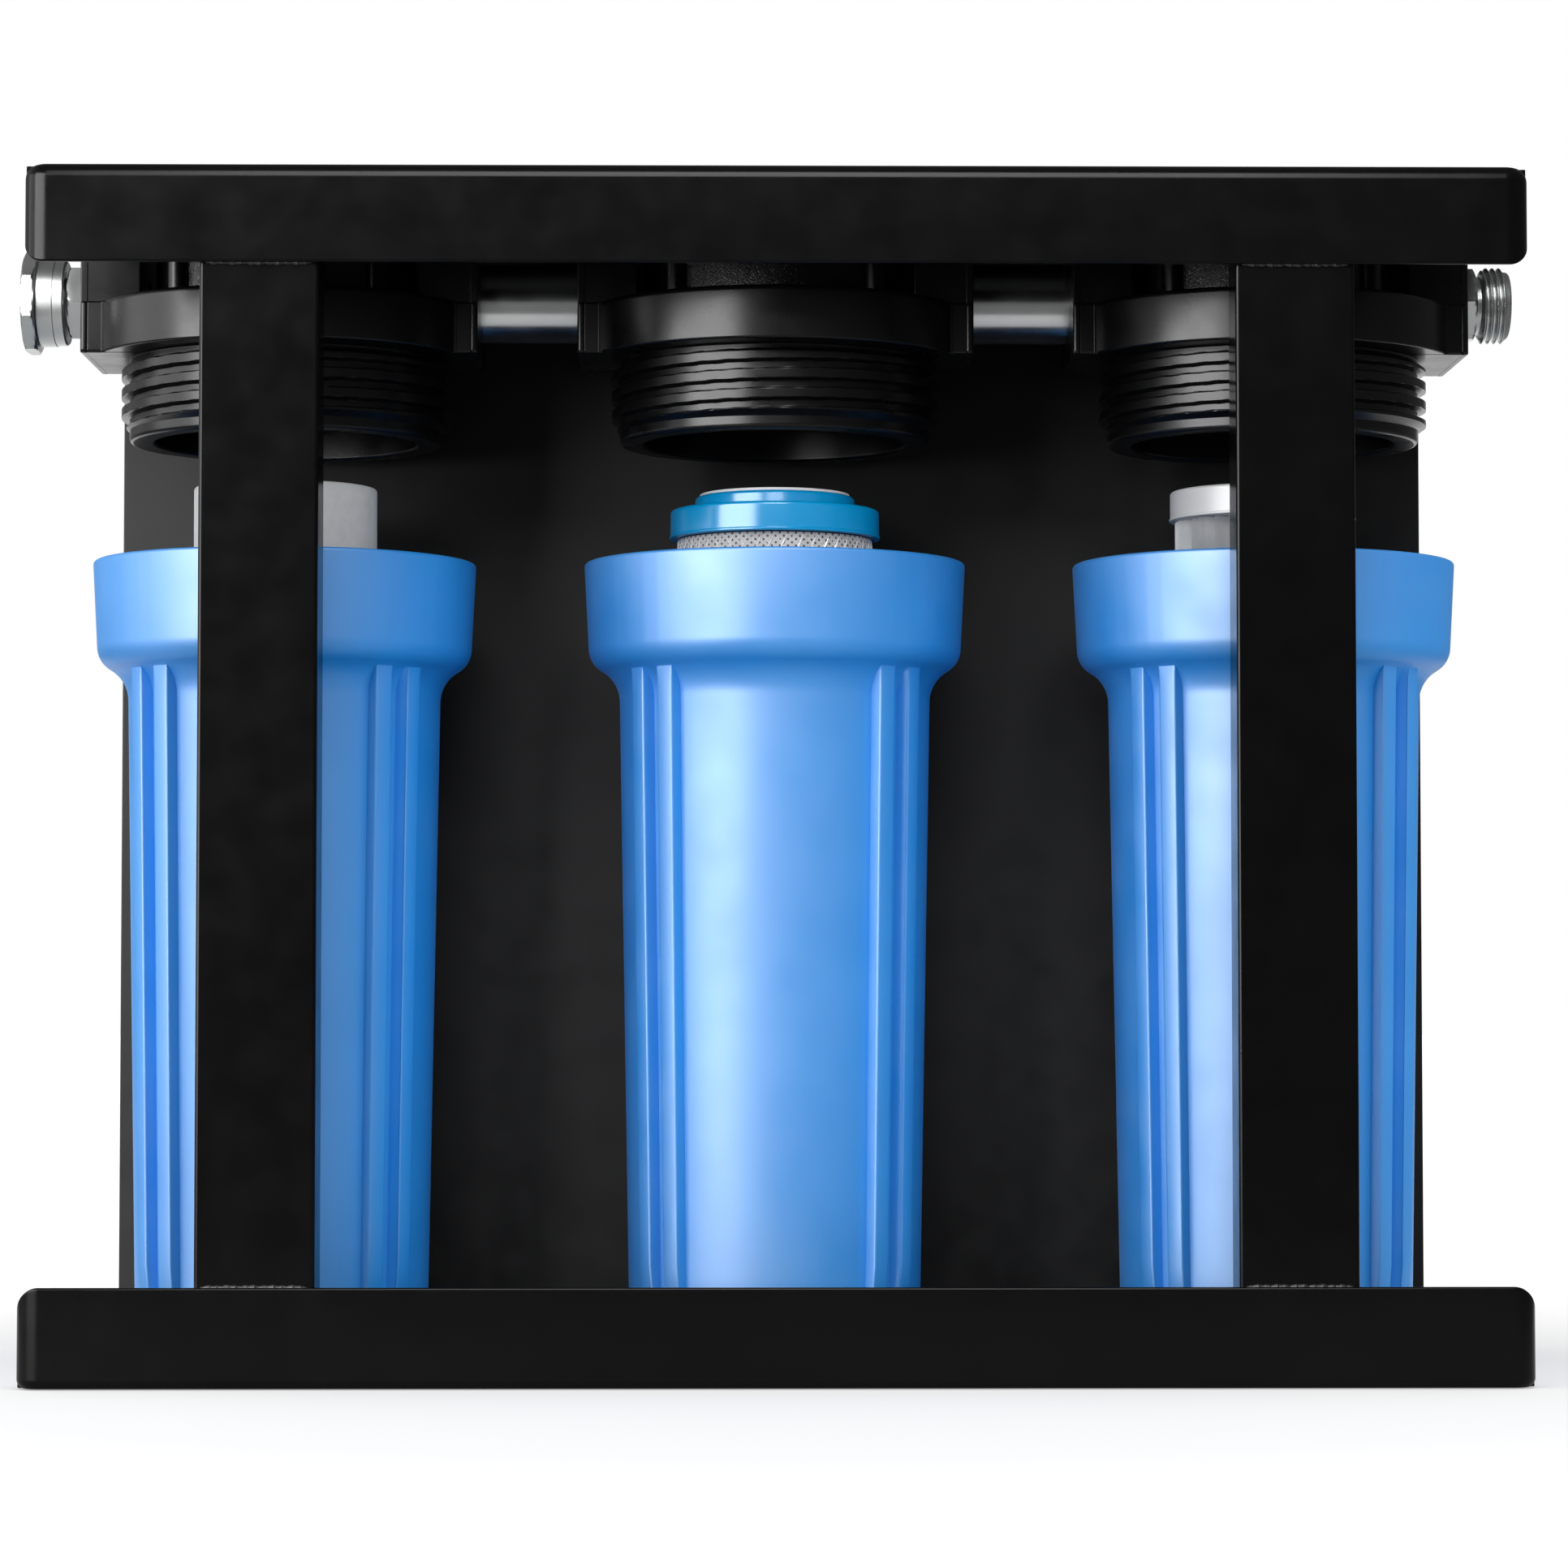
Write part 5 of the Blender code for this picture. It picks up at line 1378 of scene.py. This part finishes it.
@dataclass
class BlockCartridge(Cartridge):
    """Carbon block in a bonded wrap and a netting, with two glossy stepped caps and flat gaskets."""

    cap: float = 0.036
    ring: float = 0.0275
    cap_low: float = 0.2328
    cap_step: float = 0.2427
    cap_top: float = 0.2472
    gasket_top: float = 0.2482
    netting: float = 0.0335
    strands: int = 44
    layers: Rows = ((1, 0.00030, 24), (-1, 0.00015, 33))
    uneven_slant: float = 3.0
    uneven_start: float = 0.02
    cell: tuple[float, float] = (0.00275, 0.0022)
    block: float = 0.032
    gasket: float = 0.0256

    def cap_shell(self) -> Shell:
        """Return the top cap: a skirt with a small flared lip, a rounded shoulder and a raised ring."""
        corners = [
            (self.bore, self.cap_low, 0.0003), (self.cap, self.cap_low, 0.0004),
            (self.cap, self.cap_low + 0.0008, 0.0003), (self.cap - 0.0003, self.cap_low + 0.0011, 0.0003),
            (self.cap - 0.0004, self.cap_step, 0.0013), (self.ring, self.cap_step, 0.0005),
            (self.ring - 0.0004, self.cap_top, 0.0012), (self.bore, self.cap_top, 0.0005),
        ]
        return lathe(rounded(corners, 6), 160)

    def wrap(self, low: float, high: float) -> Mesh:
        """The bonded wrap: a thin sleeve with a UV map whose unit is one cell of the dots.

        Args:
            low: Height of its foot.
            high: Height of its top.

        Returns:
            The mesh, in its place.
        """
        radius = self.netting - 0.0004
        shell = self.tube(radius, self.netting - 0.0011, low, high, 0.0002).moved(self.place())
        mesh = mesh_of("wrap", shell)
        layer = mesh.uv_layers.new(name="wrap_uv")
        corner = read(mesh.loops, "vertex_index", np.int32)
        x, y, z = (read(mesh.vertices, "co", float, 3) - self.place()).T
        turn = np.arctan2(y, x)[corner]
        starts, totals = (read(mesh.polygons, name, np.int32) for name in ("loop_start", "loop_total"))
        first = np.repeat(turn[starts], totals)
        turn = first + np.angle(np.exp(1j * (turn - first)))
        around = round(FULL_TURN * radius / self.cell[0])
        uv = np.stack([turn * around / FULL_TURN, z[corner] / self.cell[1]], axis=1)
        layer.data.foreach_set("uv", uv.astype(np.float32).ravel())
        return mesh

    def net(self, low: float, high: float) -> Shell:
        """Two layers of strands wound as helices, turn = first +- z tan(slant) / radius, a little uneven.

        Each layer has its sense, the radius of its strands and its slant in degrees.

        Args:
            low: Height of its foot.
            high: Height of its top.

        Returns:
            All strands.
        """
        rng = np.random.default_rng(5)
        z = np.linspace(low, high, 64)
        strands = []
        for sense, thick, slant in self.layers:
            radius = self.netting - 0.00030 - 0.00005 * (sense < 0)
            for first in turns(self.strands)[:, 0]:
                lean = math.tan(math.radians(slant + rng.uniform(-self.uneven_slant, self.uneven_slant)))
                start = first + rng.uniform(-self.uneven_start, self.uneven_start)
                turn = start + sense * (z - high) * lean / radius
                strands.append(swept_tube(carried_round(radius, turn, z), thick, 5))
        return strands[0].joined(*strands[1:])

    def build(self) -> None:
        """Build the cartridge from the block out."""
        low, high = self.length - self.cap_low + SEAM, self.cap_low - SEAM
        self.add("block", self.tube(self.block, self.bore, low, high, 0.0005), CARBON, Slot.CARBON)
        dressed("centre_cartridge_wrap", self.wrap(low, high), WRAP_WHITE, self.body(), None)
        self.add("netting", self.net(low, high), STRAND_WHITE, Slot.NETTING)
        gasket = self.tube(self.gasket, self.bore, self.cap_top + 0.00005, self.gasket_top, 0.0003)
        self.add_ends(self.cap_shell(), CAP_BLUE, Slot.BLUE_CAP, gasket, GASKET_WHITE, Slot.GASKET)


@dataclass
class PleatedCartridge(Cartridge):
    """Pleated sheet on a core tube, with two moulded white caps and gaskets."""

    cap: float = 0.03175
    cap_height: float = 0.010
    proud: float = 0.0006
    outer: float = 0.0297
    inner: float = 0.0190
    folds: int = 44
    parts: int = 10
    roundness: float = 0.35
    film: float = 0.0006
    recess: float = 0.0213
    recess_depth: float = 0.0028
    gasket: float = 0.021
    gasket_height: float = 0.0025
    core: float = 0.017

    def cap_shell(self) -> Shell:
        """Return the top cap, recessed for its gasket, with a small lip at its lower edge."""
        top = self.length - self.proud
        low = top - self.cap_height
        corners = [
            (self.bore, low, 0.0003), (self.cap, low, 0.0003), (self.cap, low + 0.0007, 0.0002),
            (self.cap - 0.0003, low + 0.0009, 0.0002), (self.cap - 0.0003, top, 0.0010),
            (self.recess, top, 0.0004), (self.recess, self.length - self.recess_depth, 0.0003),
            (self.bore, self.length - self.recess_depth, 0.0003),
        ]
        return lathe(rounded(corners, 6), 160)

    def pleats(self, low: float, high: float) -> Shell:
        """A folded film: radius swings between two circles, each fold wandering and leaning a little.

        Along the sheet, share s of a fold gives radius inner + (outer - inner) * swing(s), where swing is
        a triangle wave with rounded peaks, and the turn wanders by slow sines of the height.

        Args:
            low: Height of its foot.
            high: Height of its top.

        Returns:
            The closed shell.
        """
        rng = np.random.default_rng(11)
        share = np.arange(self.folds * self.parts) / self.parts
        fold = np.floor(share).astype(int) % self.folds
        swing = 0.5 - 0.5 * np.cos(FULL_TURN * share)
        swing = self.roundness * swing + (1 - self.roundness) * (1 - np.abs(2 * np.mod(share, 1.0) - 1))
        z = np.linspace(low, high, 60)[:, None]
        sway = rng.uniform(-1, 1, (3, self.folds))
        height = (z - high) * 9
        lean = sway[0][fold] * 0.35 * np.sin(height + 2 * sway[1][fold]) + sway[2][fold] * 0.3
        step = FULL_TURN / self.folds
        turn = share * step + lean * step * swing
        short = np.abs(rng.normal(size=self.folds))[fold]
        deep = 1 - 0.05 * short * np.abs(np.sin(height * 1.7 + sway[1][fold]))
        spread = np.clip(1 - 0.02 * np.abs(height), 0.9, 1)
        radius = self.inner + (self.outer - self.inner) * swing * deep * spread
        outside = carried_round(radius + self.film / 2, turn, z)
        inside = carried_round(radius - self.film / 2, turn, z)
        return grid(np.concatenate([outside, inside[::-1]]).transpose(1, 0, 2), closed=True)

    def build(self) -> None:
        """Build the cartridge from the core out."""
        end = self.proud + self.cap_height + SEAM
        low, high = end, self.length - end
        self.add("core", self.tube(self.core, self.bore, low, high, 0.0003), CAP_WHITE, Slot.WHITE_CAP)
        self.add("pleats", self.pleats(low, high), PLEAT_WHITE, Slot.PLEATS)
        gasket = self.tube(self.gasket, self.bore, self.length - self.gasket_height, self.length, 0.0004)
        self.add_ends(self.cap_shell(), CAP_WHITE, Slot.WHITE_CAP, gasket, RUBBER, Slot.RUBBER)


# Pipework


@dataclass
class Pipework:
    """Stainless nipples between the heads, swivel inlet on the left and hose thread on the right."""

    pipe: float = 0.01335
    pipe_bore: float = 0.01045
    engagement: float = 0.0130
    inlet_bore: float = 0.00625
    outlet_bore: float = 0.00825
    relief: float = 0.0095
    tail: float = 0.0085
    tail_flange: float = 0.012
    flange_low: float = 0.0105
    flange_high: float = 0.0125
    throat: float = 0.0090
    socket: float = 0.0134
    washer_ends: tuple[float, float] = (0.0128, 0.0153)
    washer_radius: float = 0.0129
    neck: float = 0.0099
    thread_root: float = 0.0117
    hexagon: float = 0.012
    inlet_turn: float = math.radians(23)
    outlet_turn: float = math.radians(32)
    inlet_hexagon_end: float = 0.0070
    outlet_hexagon_end: float = 0.0059
    octagon: float = 0.0167
    swivel_turn: float = math.radians(1)
    swivel_start: float = 0.0078
    swivel_end: float = 0.0220
    thread_start: float = 0.0078
    lead_in: float = 0.0158
    outlet_end: float = 0.0176

    def wrench_shape(
        self, half: float, sides: int, turn: float, low: float, high: float, inner: float
    ) -> Shell:
        """A hexagon or octagon with its corners chamfered at both ends, open in the middle.

        The radius is the lesser of the flat's, half / cos, and the round limit of the chamfer.

        Args:
            half: Half the size across flats.
            sides: Number of flats.
            turn: Angle of its first corner.
            low: Where it starts.
            high: Where it ends.
            inner: Radius of its hole.

        Returns:
            The closed shell, along Z.
        """
        corner = half / math.cos(math.pi / sides)
        fall = (corner - half) * 0.62
        limit = corner + 0.0001
        inward = [(inner, low), (half * 0.97, low), (half, low + fall * 0.05), (limit, low + fall)]
        outward = [(limit, high - fall), (half, high - fall * 0.05), (half * 0.97, high), (inner, high)]
        rows = divided(np.array(inward + outward), 0.0012)
        angle = turns(240) + turn
        part = np.mod(angle - turn, FULL_TURN / sides) - math.pi / sides
        radius = np.minimum(half / np.cos(part), rows[:, 0])
        return grid(carried_round(radius, angle, rows[:, 1]), closed=True)

    def nipple(self, node: str) -> Shell:
        """Return a pipe nipple in the place of its node."""
        low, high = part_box(node)
        half = (high.x - low.x) / 2
        corners = rectangle(self.pipe_bore, self.pipe, -half, half)
        line = divided(filleted(corners, [0.0002, 0.0006, 0.0006, 0.0002], 4), 0.004)
        return lathe(line, 128).laid(1, middle(node))

    def pipe_end(self, bore: float) -> list[tuple[float, float, float]]:
        """Return the corners of a screwed-in pipe end, up to the relief under the hexagon."""
        end, shoulder = -self.engagement, -0.001
        return [
            (bore, end, 0.0003), (self.pipe, end, 0.0008), (self.pipe, shoulder, 0.0003),
            (self.relief, shoulder, 0.0002),
        ]

    def inlet(self) -> Shell:
        """Return the inlet adapter: pipe end, hexagon, and a flanged tail, along Z from the port face."""
        corners = [
            *self.pipe_end(self.inlet_bore),
            (self.relief, self.inlet_hexagon_end / 2, 0.0), (self.tail, self.inlet_hexagon_end / 2, 0.0),
            (self.tail, self.flange_low, 0.0002), (self.tail_flange, self.flange_low, 0.0004),
            (self.tail_flange, self.flange_high, 0.0004), (self.inlet_bore, self.flange_high, 0.0003),
        ]
        core = lathe(rounded(corners, 4), 96)
        turn = math.pi + self.inlet_turn
        return core.joined(self.wrench_shape(self.hexagon, 6, turn, SEAM, self.inlet_hexagon_end, 0.0065))

    def swivel_nut(self) -> Shell:
        """Return the swivel nut: collar, sleeve and octagon outside, throat and socket inside."""
        start, end = self.swivel_start, self.swivel_end
        floor = end - 0.0120
        corners = [
            (self.throat, start, 0.0003), (0.0140, start, 0.0004), (0.0145, start + 0.0005, 0.0002),
            (0.0145, start + 0.0038, 0.0), (0.0148, start + 0.0038, 0.0002),
            (0.0148, start + 0.0092, 0.0002), (0.0144, start + 0.0096, 0.0002),
            (self.socket, start + 0.0100, 0.0), (self.socket, floor, 0.0002), (self.throat, floor, 0.0003),
        ]
        sleeve = lathe(rounded(corners, 4), 128)
        turn = self.swivel_turn + math.pi / 8
        return sleeve.joined(self.wrench_shape(self.octagon, 8, turn, start + 0.0097, end, self.socket))

    def washer(self) -> Shell:
        """Return the hose washer against the tail's flange."""
        corners = rectangle(self.inlet_bore, self.washer_radius, *self.washer_ends)
        return lathe(filleted(corners, 0.0004, 4), 96)

    def outlet(self) -> Shell:
        """Return the outlet adapter: pipe end, hexagon, neck and male hose thread with a lead-in."""
        neck, root = self.neck, self.thread_root
        start, lead_in, end = self.thread_start, self.lead_in, self.outlet_end
        corners = [
            *self.pipe_end(self.outlet_bore),
            (self.relief, 0.0019, 0.0), (neck, 0.0019, 0.0), (neck, start, 0.0003),
            (root - 0.0006, start, 0.0),
            (root, start + 0.0006, 0.0), (root, lead_in, 0.0), (root - 0.0002, end - 0.0005, 0.0),
            (root - 0.0007, end, 0.0002), (self.outlet_bore, end, 0.0003),
        ]
        line = wall_divided(rounded(corners, 4), root, 130)
        low, high = start, lead_in + 0.0004
        thread = ThreadForm(0.0013, 0.0022, low, high, start - 0.0002, runout=0.0005, root=0.22, flank=0.36)
        turn = turns(144)
        radius = line[:, 0] + thread.over(line, root, turn)
        body = grid(carried_round(radius, turn, line[:, 1]), closed=True)
        hexagon = (math.pi + self.outlet_turn, SEAM, self.outlet_hexagon_end, 0.0085)
        return body.joined(self.wrench_shape(self.hexagon, 6, *hexagon))

    def build(self) -> None:
        """Build the pipework."""
        for node in ("nipple_left_centre", "nipple_centre_right"):
            dressed(f"{node}_turned", self.nipple(node), PIPE_STEEL, "frame", node)
        axis = middle("inlet_adapter")[1:]
        inlet_place = [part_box("inlet_adapter")[1].x - self.engagement, *axis]
        outlet_place = [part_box("outlet_adapter")[0].x + self.engagement, *axis]
        left, right = -1, 1
        for node, shell, side, place, finish, slot in (
            ("inlet_adapter", self.inlet(), left, inlet_place, DRAWN_STEEL, Slot.STEEL),
            ("inlet_swivel_nut", self.swivel_nut(), left, inlet_place, DRAWN_STEEL, Slot.STEEL),
            ("inlet_hose_washer", self.washer(), left, inlet_place, RUBBER, Slot.RUBBER),
            ("outlet_adapter", self.outlet(), right, outlet_place, STAINLESS, Slot.STEEL),
        ):
            body = "inlet_nut" if node == "inlet_swivel_nut" else "frame"
            dressed(f"{node}_turned", shell.laid(side, place), finish, body, node, flat_faces=True)


# Screws


@dataclass
class HeadScrews:
    """Pan-head screws with a cross recess, down through the canopy."""

    head: float = 0.0039
    head_height: float = 0.0024
    shank: float = 0.0018
    length: float = 0.014
    arm: float = 0.0020
    arm_width: float = 0.00055
    recess: float = 0.0014

    def shell(self) -> Shell:
        """A domed head and a shank. The recess lowers the dome inside a cross, with steep smooth walls.

        Returns:
            The closed shell, its seat at height zero.
        """
        rise = np.linspace(0, 1, 22)
        top = np.stack([self.head * rise, self.head_height * (1 - 0.42 * rise**2.4)], axis=1)
        head, shank = self.head, self.shank
        side = [(head, 0.0002), (head - 0.0002, 0.0), (shank, 0.0), (shank, -self.length)]
        line = np.concatenate([top, side, [(0.0, -self.length - 0.0008)]])
        points = carried_round(line[:, 0], turns(72), line[:, 1])
        side_wall, end_wall = 0.0002, 0.00025
        width, reach = self.arm_width, self.arm
        arms = [
            np.clip((width - across) / side_wall, 0, 1) * np.clip((reach - along) / end_wall, 0, 1)
            for along, across in (np.abs(points[:, :, [0, 1]].T), np.abs(points[:, :, [1, 0]].T))
        ]
        recess = np.maximum(*arms).T * self.recess * (1 - line[:, 0] / self.head * 0.5)
        points[:, :, 2] -= np.where(np.arange(len(line)) < len(top), recess, 0.0)
        return grid(points)

    def build(self) -> None:
        """Build the twelve screws, each in the place of its node."""
        shell = self.shell()
        for station in Station:
            for number in range(1, 5):
                node = f"head_screw_{station.value}_{number}"
                place = [*middle(node)[:2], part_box(node)[1].z - self.head_height]
                dressed(f"{node}_driven", shell.moved(place), SCREW_STEEL, "frame", node)


# Studio


@dataclass
class Studio:
    """White table and surroundings, soft lamps and bright cards, and the camera."""

    camera_place: tuple[float, float, float] = (-0.0165, -1.539, 0.1262)
    pitch: float = math.radians(90 + 2.628)
    yaw: float = math.radians(-0.728)
    lens: float = 104.35
    room_gloss: float = 0.11
    room_light: float = 1.64
    backdrop_gloss: float = 1.2
    backdrop_light: float = 0.90
    side_gloss: float = 0.6
    floor_colour: float = 0.42
    floor_glow: float = 0.33
    far_glow: float = 0.66
    table_edge: float = -0.48
    table_half: float = 0.44
    off_table: float = 0.12
    edge_blur: float = 0.04
    side_blur: float = 0.1
    opening: float = 0.3
    mirror_span: tuple[float, float] = (-0.1, 0.3)
    glow_span: tuple[float, float] = (0.3, 1.1)
    aim: tuple[float, float, float] = (0, 0, 0.2)
    lamps: tuple[tuple[Any, ...], ...] = (
        ("soft_light", (-1.3, -1.7, 0.75), (0.5, 1.0), 4.0),
        ("top_light", (-0.2, -0.3, 2.2), (1.6, 0.8), 18.0),
        ("soft_card", (-1.39, -1.49, 0.70), (1.53, 1.6), 112.0, True),
        ("side_card", (-2.0, -0.3, 0.5), (1.6, 1.4), 21.0, True),
        ("front_card", (0.0, -1.98, 1.87), (1.05, 1.57), 60.0, True),
    )

    def camera(self) -> None:
        """Set the camera at the photograph's viewpoint."""
        data = bpy.data.cameras.new("camera")
        data.sensor_width = 36.0
        data.lens = self.lens
        camera = linked("camera", data)
        camera.location = self.camera_place
        camera.rotation_euler = (self.pitch, 0.0, self.yaw)
        bpy.context.scene.camera = camera

    def surroundings(self) -> None:
        """A white backdrop behind the filter and a room in front. What the camera sees is white.

        The light's strength follows the direction's Y, from the room's level at -0.15 to the backdrop's at
        0.35. Gloss mirrors a nearly dark room, white straight behind, and half as much on the left.
        """
        world = bpy.data.worlds.new("surroundings")
        bpy.context.scene.world = world
        tree = empty_tree(world)
        path = add_node(tree, "LightPath").outputs
        direction = add_node(tree, "TexCoord").outputs["Generated"]
        parts = add_node(tree, "SeparateXYZ", None, {"Vector": direction}).outputs
        lit, behind, beside = (
            mapped(tree, parts[axis], span, low, high, smooth=True)
            for axis, span, low, high in (
                ("Y", (-0.15, 0.35), self.room_light, self.backdrop_light),
                ("Y", (0.88, 0.99), self.room_gloss, self.backdrop_gloss),
                ("X", (-0.35, -0.85), self.room_gloss, self.side_gloss),
            )
        )
        gloss = calculated(tree, "MAXIMUM", behind, beside)
        around = mapped(tree, self.mirrored(tree, path), (0.0, 1.0), lit, gloss)
        strength = calculated(tree, "MAXIMUM", around, path["Is Camera Ray"])
        back = add_node(tree, "Background", None, {"Color": (1, 1, 1, 1), "Strength": strength})
        add_node(tree, "OutputWorld", None, {"Surface": back.outputs["Background"]})

    def mirrored(self, tree: Tree, path: bpy.types.bpy_prop_collection) -> Socket:
        """Return one where the ray comes from a glossy or a clear surface, by the light path."""
        return calculated(tree, "MAXIMUM", path["Is Glossy Ray"], path["Is Transmission Ray"])

    def floor(self) -> None:
        """A white floor that keeps the shadow: a diffuse part, and a glow where it is seen or mirrored.

        The glow grows from the object outwards, to make up for the lamps. The glow that is mirrored fades
        from the backdrop to the front, y from 0.3 to -0.1. Past the table's front edge and sides, which
        open out to the back, what is mirrored is nearly dark.
        """
        size, sunk = 12.0, -0.0002
        mesh = bpy.data.meshes.new("floor")
        mesh.from_pydata([(x, y, sunk) for x, y in rectangle(-size, size, -size, size)], [], [(0, 1, 2, 3)])
        made = bpy.data.materials.new("studio_floor")
        tree = empty_tree(made)
        path = add_node(tree, "LightPath").outputs
        place = add_node(tree, "TexCoord").outputs["Object"]
        across, depth, _ = add_node(tree, "SeparateXYZ", None, {"Vector": place}).outputs
        mirrored_ray = self.mirrored(tree, path)
        past = mapped(tree, depth, (self.table_edge + self.edge_blur, self.table_edge - self.edge_blur))
        side = calculated(tree, "MULTIPLY_ADD", depth, -self.opening, calculated(tree, "ABSOLUTE", across))
        beside = mapped(tree, side, (self.table_half, self.table_half + self.side_blur))
        beyond = calculated(tree, "MULTIPLY", mirrored_ray, calculated(tree, "MAXIMUM", past, beside))
        grey = mapped(tree, beyond, (0.0, 1.0), self.floor_colour, self.off_table)
        diffuse = add_node(tree, "BsdfDiffuse", None, {"Color": grey})
        on_table = calculated(tree, "SUBTRACT", mirrored_ray, beyond)
        mirrored = calculated(tree, "MULTIPLY", on_table, mapped(tree, depth, self.mirror_span))
        seen = calculated(tree, "MAXIMUM", mirrored, path["Is Camera Ray"])
        reach = calculated(tree, "LENGTH", place, vector=True)
        level = mapped(tree, reach, self.glow_span, self.floor_glow, self.far_glow)
        light = add_node(tree, "Emission", None, {"Strength": calculated(tree, "MULTIPLY", seen, level)})
        both = add_node(tree, "AddShader", None, {0: diffuse.outputs["BSDF"], 1: light.outputs["Emission"]})
        add_node(tree, "OutputMaterial", None, {"Surface": both.outputs["Shader"]})
        mesh.materials.append(made)
        floor = linked("floor", mesh)

    def lamp(
        self,
        name: str,
        place: tuple[float, float, float],
        size: tuple[float, float],
        power: float,
        card: bool = False,
    ) -> None:
        """A rectangular soft light that faces the middle of the filter.

        Args:
            name: Name of the lamp.
            place: Where it stands.
            size: Width and height.
            power: Watts.
            card: Whether it is a bright card, which glossy surfaces alone see. A lamp they don't see.
        """
        data = bpy.data.lights.new(name, "AREA")
        data.shape = "RECTANGLE"
        data.size, data.size_y = size
        data.energy = power
        lamp = linked(name, data)
        lamp.visible_diffuse = not card
        lamp.visible_glossy = card
        lamp.location = place
        aim = Vector(self.aim) - Vector(place)
        lamp.rotation_euler = aim.to_track_quat("-Z", "Y").to_euler()

    def build(self) -> None:
        """Build the studio."""
        bpy.context.scene.view_settings.view_transform = "Standard"
        self.camera()
        self.surroundings()
        self.floor()
        for row in self.lamps:
            self.lamp(*row)


def main() -> None:
    """Build every sub-assembly and the studio, in order."""
    logging.basicConfig(level=logging.INFO, format="%(message)s")
    for part in (
        Studio(),
        SheetFrame(),
        FilterHead(),
        Sump(),
        SpunCartridge(Station.LEFT),
        BlockCartridge(Station.CENTRE),
        PleatedCartridge(Station.RIGHT),
        Pipework(),
        HeadScrews(),
    ):
        LOG.info("building %s", type(part).__name__)
        part.build()


if __name__ == "__main__":
    main()
